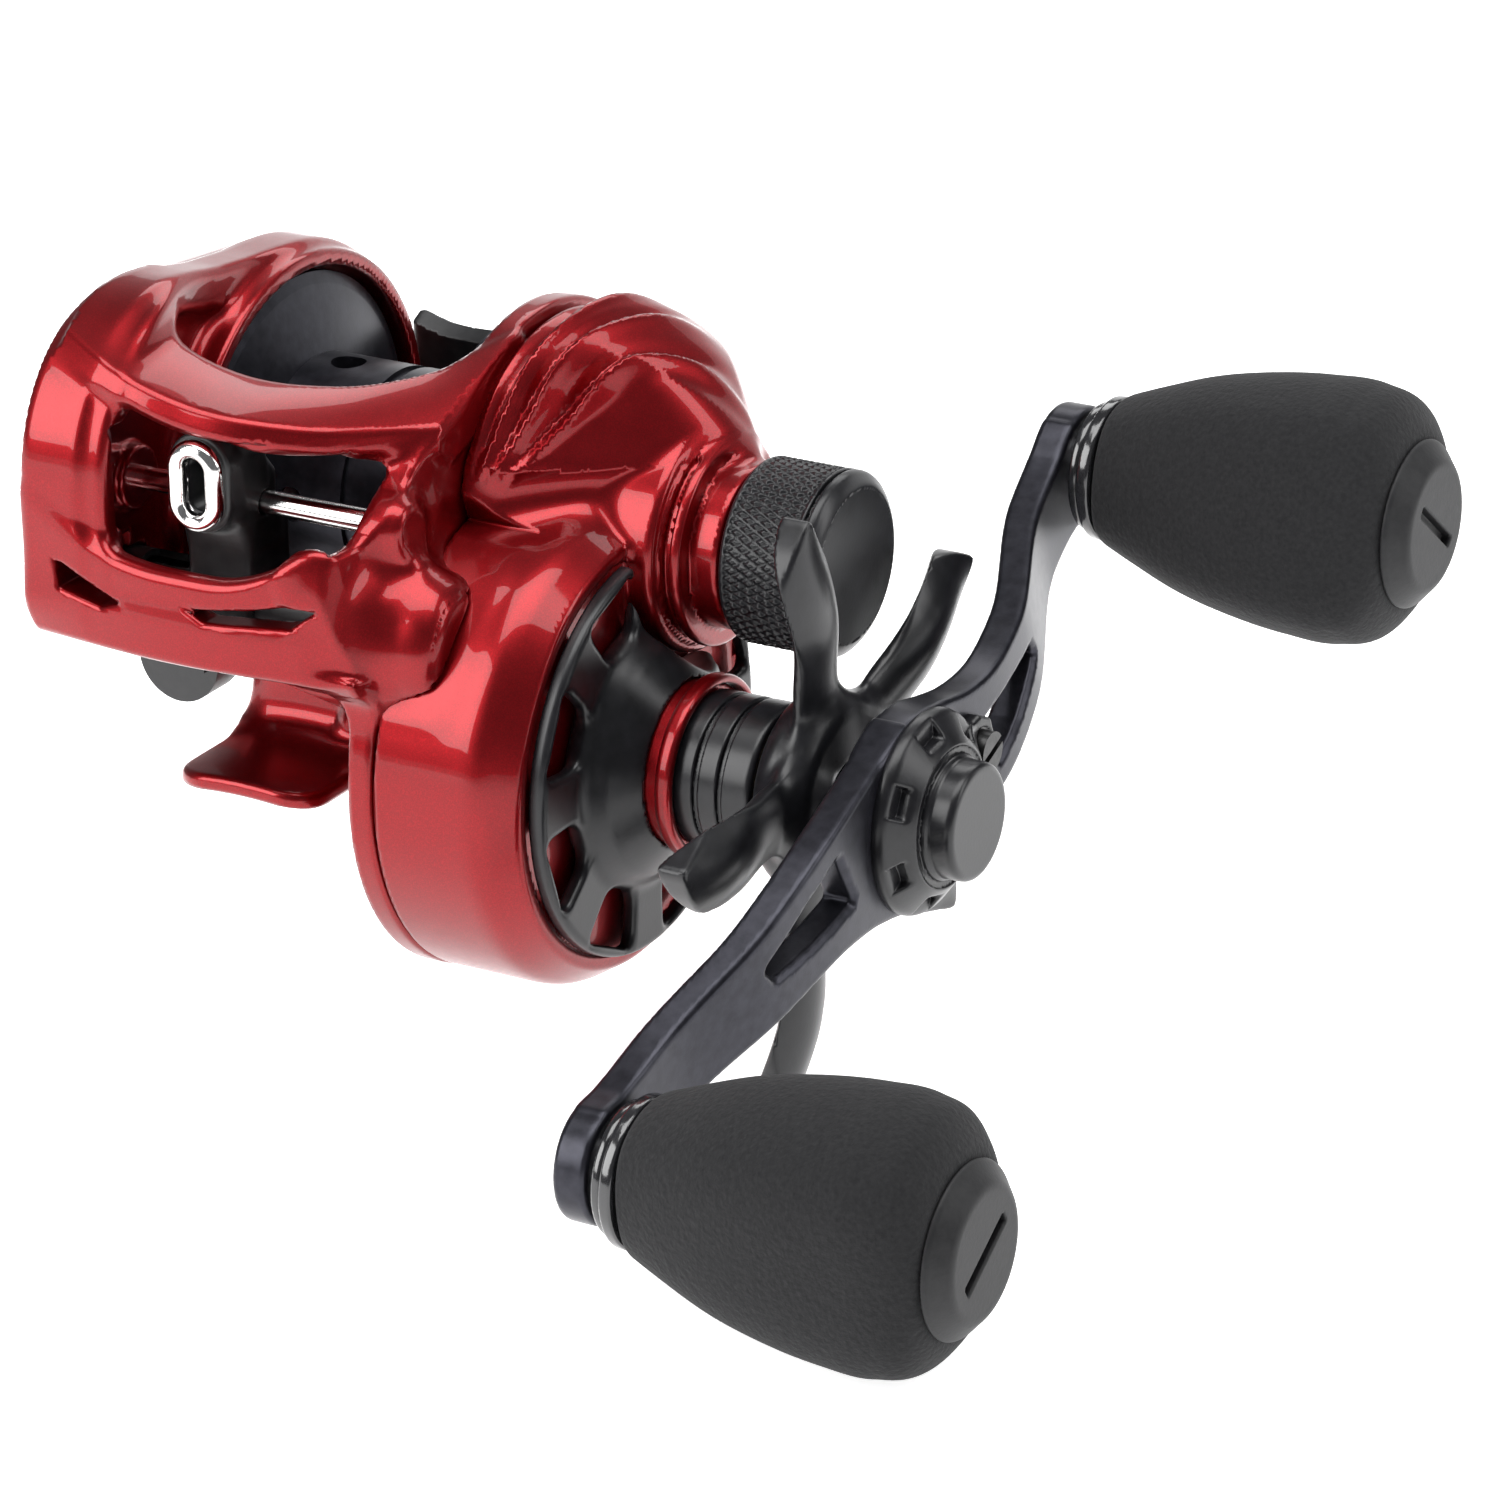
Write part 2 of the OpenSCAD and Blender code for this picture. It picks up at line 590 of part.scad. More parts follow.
spindle_r = 1.6;
module knob_spindles() color(steel)
    for (s = [-1, 1]) at_knob(s) {
        bar_x(spindle_r, arm_face - arm_drop - arm_t, 76, 0, 0);
        bar_x(3, arm_face - arm_drop, 48.6, 0, 0);
    }

// ---- Knobs --------------------------------------------------------------------

knob_x = 49;
grip_x = 51.2;
cap_x = grip_x + grip_len;

module grip(side) color(black)
    at_knob(side) rotate([-handle_a, 0, 0])
        difference() {
            intersection() {
                turned([[grip_x, 0], [grip_x, 6.2], [grip_x + 3, 7.2], [grip_x + 8, 9], [grip_x + 14, grip_r - 0.3],
                        [grip_x + 18, grip_r], [grip_x + 22, grip_r - 0.5], [grip_x + 25, 9], [cap_x, 7], [cap_x, 0]]);
                slab_x(knob_x, cap_x) rotate(side > 0 ? 78 : 96) square([24, 17.6], center = true);
            }
            bar_x(3.4, 40, 90, 0, 0);
        }

module knob_base(side) color(black)
    at_knob(side) difference() {
        turned([[knob_x, 0], [knob_x, 5.2], [knob_x + 0.6, 5.6], [grip_x, 6.1], [grip_x, 3.4], [grip_x + 5, 3.4], [grip_x + 5, 0]]);
        bar_x(2.6, 40, 90, 0, 0);
    }

module knob_bushings(side) color(steel)
    at_knob(side) {
        tube_x(2.6, spindle_r + run_gap, knob_x + 0.4, knob_x + 3, 0, 0);
        tube_x(3.4, spindle_r + run_gap, 70, 73, 0, 0);
    }

module knob_cap(side) color(black)
    at_knob(side) rotate([-handle_a, 0, 0]) difference() {
        turned([[cap_x, 0], [cap_x, 6.9], [79, 6.6], [80.2, 5.2], [80.2, 0]]);
        rotate([side > 0 ? 52 : 122, 0, 0]) translate([79.2, -3.6, -0.5]) cube([2, 7.2, 1]);
    }

module knob_grip_rear() grip(1);
module knob_base_rear() knob_base(1);
module knob_bushings_rear() knob_bushings(1);
module knob_cap_rear() knob_cap(1);
module knob_grip_front() grip(-1);
module knob_base_front() knob_base(-1);
module knob_bushings_front() knob_bushings(-1);
module knob_cap_front() knob_cap(-1);

// ---- Spool tension knob ---------------------------------------------------------

module tension_knob() color(black)
    difference() {
        turned([[34.2, 0], [34.2, 7.2], [34.6, 7.8], [40.9, 7.8], [41.1, 7.5], [41.6, 7.5], [43, 6.4], [43, 0]], spool_y, spool_z);
        bar_x(5.6 + run_gap, 33, 39, spool_y, spool_z);
        bar_x(2.4, 38, 40.4, spool_y, spool_z);
    }

module tension_spacer() color("ivory") {
    bar_x(3.1, 34.8, 36, spool_y, spool_z);
    bar_x(2.4, 36, 40.4, spool_y, spool_z);
}

// ---- Clutch ---------------------------------------------------------------------

module yoke() color(brass)
    difference() {
        at_spool() rotate([mesh_a, 0, 0])
            slab_x(16.4, 17.2) {
                translate([2, 0]) square([4.6, 15.6], center = true);
                circle(r = 4.4);
            }
        bar_x(pinion_root + 0.12, 10, 20, spool_y, spool_z);
        for (s = [-1, 1]) yoke_place(s) bar_x(0.8 + run_gap, 10, 20, 0, 0);
    }

module clutch_cam() color(steel)
    at_spool() difference() {
        slab_x(14.8, 15.7) {
            circle(r = 5.6);
            rotate(-50) polygon([[3, -3], [9.6, -1.2], [9.6, 1.2], [3, 3]]);
        }
        bar_x(3.4, 10, 20, 0, 0);
    }

// ---- Line guide -----------------------------------------------------------------

module line_guide() color(black)
    translate([guide_x, 0, 0])
        difference() {
            union() {
                slab_x(-3.2, 3.2) pair2d(bar_y, bar_z + 0.6, 3, bar_y, bar_z + 3, 3);
                slab_x(-3.2, 3.2)
                    polygon([[bar_y - 2.9, 20], [bar_y - 4.4, 24.6], [bar_y - 4.4, 30.6], [bar_y, 31.2], [bar_y + 2.9, 27], [bar_y + 2.9, 20]]);
                slab_x(-3.2, 3.2) translate([worm_y, worm_z]) circle(r = 3.9);
                slab_x(-3.2, 3.2) polygon([[worm_y - 3.4, worm_z], [worm_y + 3.4, worm_z], [bar_y + 2.9, 22], [bar_y - 2.9, 22]]);
            }
            bar_x(bar_r + run_gap, -5, 5, bar_y, bar_z);
            bar_x(3 + run_gap, -5, 5, worm_y, worm_z);
            // Passage for the line, and the hole the pawl stands in
            translate([0, -40, 27.8]) rotate([-90, 0, 0]) { translate([0, 1.1, 0]) cylinder(h = 30, r = 1.1); translate([0, -1.1, 0]) cylinder(h = 30, r = 1.1); }
            translate([-1.1, -40, 26.7]) cube([2.2, 30, 2.2]);
            translate([0, worm_y, worm_z]) cylinder(h = 6, r = 1.2);
        }

// Polished oval ring that the line runs through
module eyelet() color(steel)
    translate([guide_x, bar_y - 6, 27.8]) rotate([-90, 0, 0])
        difference() {
            linear_extrude(height = 1.6) { translate([0, 1.1]) circle(r = 2.4); translate([0, -1.1]) circle(r = 2.4); square([4.8, 2.2], center = true); }
            translate([0, 0, -1]) linear_extrude(height = 4) { translate([0, 1.1]) circle(r = 1.1); translate([0, -1.1]) circle(r = 1.1); square([2.2, 2.2], center = true); }
        }

module pawl() color(brass) translate([guide_x, worm_y, worm_z + 2.35]) cylinder(h = 2.6, r = 1.05);
module pawl_cap() color(steel) translate([guide_x, worm_y, worm_z + 4.95]) cylinder(h = 0.8, r = 1.15);

// ---- Thumb bar ------------------------------------------------------------------

module thumb_bar() color(black)
    difference() {
        slab_x(-11.6, 11.8)
            polygon([[15.6, 17], [17.2, 15.2], [21.4, 17.4], [23.2, 21], [22.2, 24.4], [18.6, 26.6], [16.4, 25.4], [16.9, 21]]);
        // Clear of the spool and of the frame's rings over the whole travel
        for (dz = [0 : 1 : 4]) {
            bar_x(flange_r + air, -30, 30, spool_y, spool_z + dz);
            for (s = [-1, 1]) translate([s * (ring_x + 5), 0, 0])
                bar_x(ring_r + air, -5 - air, 5 + air, spool_y, spool_z + dz);
        }
    }

frame();
handle_side_cover();
vent_ring();
trim_ring();
shaft_collar();
one_way_bearing();
cover_screws();
guide_bar();
worm_cover();
main_shaft_bearing();
pinion_bearing();
tension_bearing();
yoke_posts();
yoke_springs();
release_knob();
palm_side_cover();
brake_dial();
magnet_ring();
spool_bearing();
spool();
spool_shaft();
brake_rotor();
main_shaft();
main_gear();
levelwind_drive_gear();
ratchet();
drag_washers();
clutch_sleeve();
handle_arm();
handle_nut();
nut_retainer();
retainer_screw();
knob_spindles();
star_drag();
star_nut();
knob_grip_rear();
knob_base_rear();
knob_bushings_rear();
knob_cap_rear();
knob_grip_front();
knob_base_front();
knob_bushings_front();
knob_cap_front();
tension_knob();
tension_spacer();
pinion();
yoke();
clutch_cam();
worm_shaft();
worm_gear();
idler_gear();
line_guide();
eyelet();
pawl();
pawl_cap();
thumb_bar();
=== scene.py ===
"""Looks of the baitcasting reel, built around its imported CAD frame.

Shapes are written as distance fields in millimetres, in the row frame: +X towards the handle, -Y towards
the rod tip, +Z up. A field is negative inside the piece. build() turns a field into a mesh.
"""

import json
import math

import bpy
import numpy as np
import openvdb
from mathutils import Matrix, Vector

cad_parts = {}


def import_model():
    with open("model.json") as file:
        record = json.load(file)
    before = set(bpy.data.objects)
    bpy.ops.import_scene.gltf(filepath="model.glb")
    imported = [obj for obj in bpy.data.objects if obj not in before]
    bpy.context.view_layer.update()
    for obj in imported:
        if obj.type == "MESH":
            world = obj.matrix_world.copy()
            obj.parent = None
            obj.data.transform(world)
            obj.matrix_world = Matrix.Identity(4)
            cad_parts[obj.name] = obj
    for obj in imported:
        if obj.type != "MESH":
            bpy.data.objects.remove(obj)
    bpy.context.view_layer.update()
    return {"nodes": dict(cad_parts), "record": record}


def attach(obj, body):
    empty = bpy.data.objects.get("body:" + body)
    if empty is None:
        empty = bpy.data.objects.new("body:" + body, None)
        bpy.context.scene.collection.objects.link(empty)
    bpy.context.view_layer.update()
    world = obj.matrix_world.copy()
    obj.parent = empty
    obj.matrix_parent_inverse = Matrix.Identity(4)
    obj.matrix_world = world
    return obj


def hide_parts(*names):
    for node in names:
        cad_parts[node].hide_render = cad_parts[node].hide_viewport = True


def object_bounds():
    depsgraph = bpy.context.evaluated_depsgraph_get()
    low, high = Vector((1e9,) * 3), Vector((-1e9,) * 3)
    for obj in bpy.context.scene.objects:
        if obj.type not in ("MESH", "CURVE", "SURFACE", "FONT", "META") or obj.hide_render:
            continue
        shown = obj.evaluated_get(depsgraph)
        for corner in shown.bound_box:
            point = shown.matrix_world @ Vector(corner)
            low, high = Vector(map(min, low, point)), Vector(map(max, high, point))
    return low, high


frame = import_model()

MM = 0.001

# ---- Driving dimensions, millimetres, as in the CAD ----------------------------------------------

SPOOL_Y, SPOOL_Z = -1.2, 19.5
MAIN_Y, MAIN_Z = -10.0, 3.5
BAR_Y, BAR_Z = -24.0, 25.3
WORM_Y, WORM_Z = -23.5, 15.8
GUIDE_X, GUIDE_Z = -2.0, 27.8
RING_R, RING_BORE = 18.1, 16.6
DRUM_R, DRUM_END, RIM_X = 20.3, 23.8, 27.0
COVER_X, PLATE_X = 14.4, 14.2
PALM_END = -24.0
HANDLE_R, HANDLE_A = 42.5, math.radians(21.8)
ARM_FACE, ARM_DROP, ARM_T = 53.2, 4.9, 3.0
KNOB_X, GRIP_X, CAP_X, KNOB_END = 49.0, 51.2, 78.2, 80.2
WALL = 1.5
PALM_SEAM = -14.8
RELEASE_X, RELEASE_Z, RELEASE_R = -11.6, 7.6, 4.3


# ---- Distance fields -----------------------------------------------------------------------------


def smin(a, b, k):
    """Union of two fields with a fillet of about k."""
    h = np.maximum(k - np.abs(a - b), 0) / k
    return np.minimum(a, b) - h * h * k * 0.25


def smax(a, b, k):
    """Intersection of two fields with their edge rounded by about k."""
    return -smin(-a, -b, k)


def cut(a, b, k=0.4):
    """Field a with field b taken out of it."""
    return smax(a, -b, k)


def span(v, lo, hi):
    """Distance along one axis from the stretch lo to hi."""
    return np.abs(v - (lo + hi) / 2) - (hi - lo) / 2


def circle(u, v, cu, cv, r):
    return np.hypot(u - cu, v - cv) - r


def from_spool(y, z):
    """Distance from the spool's axis."""
    return np.hypot(y - SPOOL_Y, z - SPOOL_Z)


def from_main(y, z):
    """Distance from the main shaft's axis."""
    return np.hypot(y - MAIN_Y, z - MAIN_Z)


def hull2(u, v, a, b):
    """Outline around two circles, each (u, v, radius), with their outer tangents."""
    d = math.hypot(b[0] - a[0], b[1] - a[1])
    ex, ey = (b[0] - a[0]) / d, (b[1] - a[1]) / d
    px = (u - a[0]) * ex + (v - a[1]) * ey
    py = np.abs((v - a[1]) * ex - (u - a[0]) * ey)
    s = (a[2] - b[2]) / d
    c = math.sqrt(1 - s * s)
    side = px * c - py * s
    band = px * s + py * c - a[2]
    return np.where(
        side < 0, np.hypot(px, py) - a[2], np.where(side > c * d, np.hypot(px - d, py) - b[2], band)
    )


def polygon(u, v, points):
    """Outline through the points, negative inside."""
    u, v = np.broadcast_arrays(u, v)
    d = np.full(u.shape, 1e9)
    s = np.ones(u.shape)
    for (ax, ay), (bx, by) in zip(points, points[1:] + points[:1]):
        ex, ey = bx - ax, by - ay
        wx, wy = u - ax, v - ay
        t = np.clip((wx * ex + wy * ey) / (ex * ex + ey * ey), 0, 1)
        d = np.minimum(d, (wx - ex * t) ** 2 + (wy - ey * t) ** 2)
        above, below, left = v >= ay, v < by, ex * wy > ey * wx
        s = np.where((above & below & left) | (~above & ~below & ~left), -s, s)
    return s * np.sqrt(d)


def along(x, knots, values):
    """Smooth curve through values at the knots, level beyond both ends."""
    knots, values = np.array(knots, float), np.array(values, float)
    slopes = np.gradient(values, knots)
    x = np.clip(x, knots[0], knots[-1])
    i = np.clip(np.searchsorted(knots, x) - 1, 0, len(knots) - 2)
    h = knots[i + 1] - knots[i]
    t = (x - knots[i]) / h
    return (
        values[i] * (1 + 2 * t) * (1 - t) ** 2
        + slopes[i] * h * t * (1 - t) ** 2
        + values[i + 1] * t * t * (3 - 2 * t)
        + slopes[i + 1] * h * t * t * (t - 1)
    )


def ease(a, b, v):
    t = np.clip((v - a) / (b - a), 0, 1)
    return t * t * (3 - 2 * t)


def turn(u, v, angle):
    """Coordinates seen from axes turned by angle."""
    c, s = math.cos(angle), math.sin(angle)
    return u * c + v * s, v * c - u * s


def gradient(field, p, h=0.02):
    g = np.empty_like(p)
    for i in range(3):
        step = np.zeros(3)
        step[i] = h
        g[:, i] = field(*(p + step).T) - field(*(p - step).T)
    return g / (2 * h)


def build(name, field, lo, hi, step, finish, body, replaces=(), place=None):
    """Meshes a field inside the box lo..hi and puts the piece on its body.

    The mesh is drawn onto the field's surface in a few small moves, and its normals are the field's own.
    """
    passes, longest_move = 3, 0.4 * step
    lo = np.array(lo, float) - 2 * step
    count = np.ceil((np.array(hi) + 2 * step - lo) / step).astype(int) + 1
    x, y, z = np.meshgrid(*[lo[i] + step * np.arange(count[i]) for i in range(3)], indexing="ij", sparse=True)
    values = np.ascontiguousarray(np.broadcast_to(field(x, y, z), tuple(count)), np.float32)
    volume = openvdb.FloatGrid(3 * step)
    volume.copyFromArray(values)
    points, quads = volume.convertToQuads(0.0)
    p = points.astype(float) * step + lo
    for _ in range(passes):
        g = gradient(field, p)
        size = np.maximum((g * g).sum(1), 0.05)
        move = np.clip(field(*p.T) / size, -longest_move, longest_move)
        p -= g * move[:, None]
    g = gradient(field, p)
    normals = g / np.maximum(np.linalg.norm(g, axis=1), 1e-6)[:, None]
    a, b, c = p[quads[:, 0]], p[quads[:, 1]], p[quads[:, 2]]
    if (np.cross(b - a, c - a) * normals[quads[:, 0]]).sum() < 0:
        quads = quads[:, ::-1]
    if place is not None:
        turned = np.array(place.to_3x3())
        p = p @ turned.T + np.array(place.translation)
        normals = normals @ turned.T
    mesh = bpy.data.meshes.new(name)
    mesh.vertices.add(len(p))
    mesh.vertices.foreach_set("co", (p * MM).astype(np.float32).ravel())
    mesh.loops.add(quads.size)
    mesh.loops.foreach_set("vertex_index", quads.astype(np.int32).ravel())
    mesh.polygons.add(len(quads))
    mesh.polygons.foreach_set("loop_start", np.arange(0, quads.size, 4, dtype=np.int32))
    mesh.polygons.foreach_set("loop_total", np.full(len(quads), 4, np.int32))
    mesh.polygons.foreach_set("use_smooth", np.ones(len(quads), bool))
    mesh.update(calc_edges=True)
    mesh.validate()
    mesh.normals_split_custom_set_from_vertices([tuple(n) for n in normals])
    piece = bpy.data.objects.new(name, mesh)
    bpy.context.scene.collection.objects.link(piece)
    mesh.materials.append(MATERIALS[finish])
    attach(piece, body)
    if replaces:
        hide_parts(*replaces)
    return piece


# ---- Materials -----------------------------------------------------------------------------------


class Nodes:
    """Short helpers around one material's node tree."""

    def __init__(self, name):
        self.material = bpy.data.materials.new(name)
        self.material.use_nodes = True
        self.tree = self.material.node_tree
        self.shader = self.tree.nodes["Principled BSDF"]
        self.where = self.tree.nodes.new("ShaderNodeTexCoord").outputs["Object"]

    def set(self, **values):
        for key, value in values.items():
            self.shader.inputs[key.replace("_", " ")].default_value = value

    def noise(self, scale, detail=4.0, stretch=None):
        node = self.tree.nodes.new("ShaderNodeTexNoise")
        node.inputs["Scale"].default_value = scale
        node.inputs["Detail"].default_value = detail
        source = self.where
        if stretch:
            mapping = self.tree.nodes.new("ShaderNodeMapping")
            mapping.inputs["Scale"].default_value = stretch
            self.tree.links.new(source, mapping.inputs["Vector"])
            source = mapping.outputs["Vector"]
        self.tree.links.new(source, node.inputs["Vector"])
        return node.outputs["Fac"]

    def cells(self, scale):
        node = self.tree.nodes.new("ShaderNodeTexVoronoi")
        node.inputs["Scale"].default_value = scale
        self.tree.links.new(self.where, node.inputs["Vector"])
        return node.outputs["Distance"]

    def ramp(self, source, low, high, at=(0.3, 0.7)):
        node = self.tree.nodes.new("ShaderNodeValToRGB")
        for element, place, colour in zip(node.color_ramp.elements, at, (low, high)):
            element.position = place
            element.color = (*colour, 1)
        self.tree.links.new(source, node.inputs["Fac"])
        return node.outputs["Color"]

    def range(self, source, low, high):
        node = self.tree.nodes.new("ShaderNodeMapRange")
        node.inputs["To Min"].default_value = low
        node.inputs["To Max"].default_value = high
        self.tree.links.new(source, node.inputs["Value"])
        return node.outputs["Result"]

    def link(self, source, key):
        self.tree.links.new(source, self.shader.inputs[key])

    def bump(self, source, strength, distance):
        node = self.tree.nodes.new("ShaderNodeBump")
        node.inputs["Strength"].default_value = strength
        node.inputs["Distance"].default_value = distance
        self.tree.links.new(source, node.inputs["Height"])
        self.link(node.outputs["Normal"], "Normal")


def tinted(name, low, high, scale, rough, metallic=0.0, bump=None, stretch=None, **more):
    """A material whose colour and roughness drift a little with a noise.

    bump is the grain's scale, its strength and its depth in metres.
    """
    n = Nodes(name)
    noise = n.noise(scale, stretch=stretch)
    n.link(n.ramp(noise, low, high), "Base Color")
    n.link(n.range(noise, *rough), "Roughness")
    n.set(Metallic=metallic, **more)
    if bump:
        grain, strength, depth = bump
        n.bump(n.noise(grain, stretch=stretch), strength, depth)
    return n.material


def red_paint():
    """Candy red: a metallic base seen through deep red, under clear lacquer."""
    n = Nodes("red_paint")
    flake = n.cells(9000)
    n.link(n.ramp(flake, (0.15, 0.0006, 0.0022), (0.27, 0.0015, 0.0048), (0.1, 0.9)), "Base Color")
    n.link(n.range(n.noise(900), 0.30, 0.38), "Roughness")
    n.set(Metallic=0.82, Coat_Weight=0.75, Coat_Roughness=0.035, Coat_IOR=1.34)
    return n.material


def eva_foam():
    n = Nodes("eva_foam")
    grain = n.noise(2600, 6)
    n.link(n.ramp(grain, (0.006, 0.006, 0.007), (0.015, 0.015, 0.016)), "Base Color")
    n.link(n.range(grain, 0.78, 0.95), "Roughness")
    n.set(Specular_IOR_Level=0.22, Sheen_Weight=0.05, Sheen_Roughness=0.6)
    n.bump(n.noise(1900, 8), 0.55, 0.00025)
    return n.material


def carbon_fibre():
    n = Nodes("carbon_fibre")
    weave = n.tree.nodes.new("ShaderNodeTexChecker")
    weave.inputs["Scale"].default_value = 1400
    weave.inputs["Color1"].default_value = (0.015, 0.015, 0.016, 1)
    weave.inputs["Color2"].default_value = (0.05, 0.05, 0.055, 1)
    n.tree.links.new(n.where, weave.inputs["Vector"])
    n.link(weave.outputs["Color"], "Base Color")
    n.link(n.range(n.noise(800), 0.4, 0.6), "Roughness")
    return n.material


def brushed(name, colour, rough):
    """Metal with fine turning marks round the X axis."""
    dark = tuple(v * 0.82 for v in colour)
    return tinted(name, dark, colour, 500, rough, 1.0, (1800, 0.15, 0.00004), (12, 1, 1))


MATERIALS = {
    "red_paint": red_paint(),
    "eva_foam": eva_foam(),
    "carbon_fibre": carbon_fibre(),
    "black_satin": tinted(
        "black_satin", (0.005, 0.005, 0.006), (0.010, 0.010, 0.012), 700, rough=(0.26, 0.36),
        bump=(3200, 0.12, 0.00005), Specular_IOR_Level=0.36, Coat_Weight=0.08, Coat_Roughness=0.25,
    ),
    "black_anodised": tinted(
        "black_anodised", (0.020, 0.020, 0.026), (0.032, 0.032, 0.041), 900, rough=(0.27, 0.37),
        metallic=0.75, bump=(5200, 0.14, 0.00004),
    ),
    "grey_anodised": tinted(
        "grey_anodised", (0.05, 0.05, 0.06), (0.08, 0.08, 0.09), 900, rough=(0.28, 0.38), metallic=0.8,
        bump=(4200, 0.12, 0.00004),
    ),
    "black_plastic": tinted(
        "black_plastic", (0.006, 0.006, 0.007), (0.012, 0.012, 0.013), 800, rough=(0.34, 0.46),
        bump=(2600, 0.2, 0.00006),
    ),
    "black_gloss": tinted(
        "black_gloss", (0.010, 0.010, 0.011), (0.016, 0.016, 0.018), 600, rough=(0.12, 0.2),
        bump=(2600, 0.06, 0.00004), Coat_Weight=0.6, Coat_Roughness=0.08,
    ),
    "black_matte": tinted(
        "black_matte", (0.007, 0.007, 0.008), (0.014, 0.014, 0.015), 1200, rough=(0.46, 0.6),
        bump=(3000, 0.25, 0.00007), Specular_IOR_Level=0.3,
    ),
    "dark_screws": tinted(
        "dark_screws", (0.03, 0.03, 0.03), (0.06, 0.06, 0.06), 1500, rough=(0.25, 0.4), metallic=0.9,
        bump=(3000, 0.2, 0.00005),
    ),
    "nylon": tinted(
        "nylon", (0.62, 0.59, 0.50), (0.72, 0.69, 0.60), 500, rough=(0.42, 0.55), bump=(2200, 0.15, 0.00005)
    ),
    "magnet": brushed("magnet", (0.55, 0.55, 0.58), (0.22, 0.34)),
    "aluminium": brushed("aluminium", (0.78, 0.78, 0.80), (0.24, 0.36)),
    "polished_steel": brushed("polished_steel", (0.86, 0.85, 0.84), (0.06, 0.14)),
    "bearing_steel": brushed("bearing_steel", (0.68, 0.68, 0.69), (0.2, 0.32)),
    "brass": brushed("brass", (0.80, 0.58, 0.24), (0.2, 0.32)),
}

for part in frame["record"]["subparts"]:
    node = frame["nodes"][part["node"]]
    node.data.materials.clear()
    node.data.materials.append(MATERIALS[part["material_slot"]])


# ---- Frame ---------------------------------------------------------------------------------------


def palm_profile(y, z):
    """Side view of the palm side: spool ring, high nose and the low front corner."""
    ring, nose, corner = (SPOOL_Y, SPOOL_Z, 18.2), (-18.6, 26.4, 13.2), (-29.0, 17.2, 3.4)
    return smin(hull2(y, z, ring, nose), hull2(y, z, nose, corner), 2)


def palm_seam(y):
    """Where the palm-side cover meets the frame, further out round the nose."""
    return PALM_SEAM - 1.6 * ease(-12, -30, y)


def release_hole(x, y, z):
    """Round hole of the release knob, through the wall and the palm cover."""
    return np.maximum(np.hypot(x - RELEASE_X, z - RELEASE_Z) - RELEASE_R, y + 15.1)


def plate_profile(y, z):
    """Side view of the handle-side wall: spool ring, low nose and the back of the gear drum."""
    upper = hull2(y, z, (SPOOL_Y, SPOOL_Z, 16.9), (-24.4, 20.4, 7.8))
    drum = hull2(y, z, (SPOOL_Y, SPOOL_Z, 16.6), (MAIN_Y, MAIN_Z, DRUM_R))
    return smin(upper, drum, 4)


def cover_side(y, z):
    """Side view of the seam: negative where the gear cover lies, positive ahead of it."""
    seam = [(-14, 45), (-14.5, 33), (-15.6, 30.1), (-17.2, 28.1), (-14.3, 21.7), (-13, 10)]
    drum = circle(y, z, MAIN_Y, MAIN_Z, DRUM_R + 0.1)
    return np.minimum(polygon(y, z, seam + [(32, 10), (32, 45)]), drum)


def worm_swell(x, y, z):
    """Round swelling over the worm's gear, shared by the wall and the cover."""
    return smax(circle(y, z, WORM_Y, WORM_Z, 5.6), x - 19.6, 3.0)


def cheek_outline(y, z):
    """Side view of the handle-side wall, with the line window's edge cut out of its front."""
    window = [(-16.5, 45), (-17.6, 33), (-19.6, 31), (-21.4, 29.5), (-23.1, 27.7), (-25, 26.4), (-26.8, 25.2)]
    return polygon(y, z, window + [(-30, 24.4), (-38, 24.2), (-38, -30), (32, -30), (32, 45)])


def bridge(x, y, z):
    """Creased band over the line window, from the palm-side nose to the handle-side ring."""
    knots = (-16, -9, -3, 3, 8, 12, 15)
    front_y = along(x, knots, (-27, -29.6, -29.6, -28.4, -25.0, -20.5, -17))
    front_z = along(x, knots, (36.8, 34.8, 33.1, 32.2, 31.3, 30.7, 30.5))
    rear_y = along(x, knots, (-14, -20.4, -21.4, -20.0, -15.9, -9.6, -5))
    rear_z = along(x, knots, (38.2, 35.6, 34.0, 33.3, 33.1, 33.6, 34.6))
    length = np.hypot(rear_y - front_y, rear_z - front_z)
    cy, cz = (rear_y - front_y) / length, (rear_z - front_z) / length
    across = (y - front_y) * cy + (z - front_z) * cz
    up = (z - front_z) * cy - (y - front_y) * cz
    # The crown, and the front face that drops from the crease
    d = smax(up - 1.5 - 0.25 * np.sin(np.pi * np.clip(across / length, 0, 1)), -up - 1.3, 0.8)
    d = smax(d, across - length, 1.6)
    d = smax(d, -across * 0.86 + (up - 1.2) * 0.5, 0.5)
    d = smax(d, -across * 0.8 - (up + 0.9) * 0.6, 0.5)
    return np.maximum(d * 0.9, span(x, -15, 14.1))


def front_shell(x, y, z):
    """Curved front bar with its top edge sweeping up to both walls."""
    radius, thickness, underside = 60, 2.4, 13.9
    arc = np.hypot(x - GUIDE_X, y - 26.4) - radius
    top = 21.6 + 0.045 * np.clip(x - 1, 0, 20) ** 2 + 0.02 * np.clip(-3 - x, 0, 20) ** 2
    d = smax(arc - 0.35 * ease(19.5, 17, z), -arc - thickness, 0.6)
    d = smax(d, (z - top) * 0.93, 1.2)
    d = smax(d, underside - z, 0.8)
    return smax(d, span(x, -16.2, 14.1), 0.4)


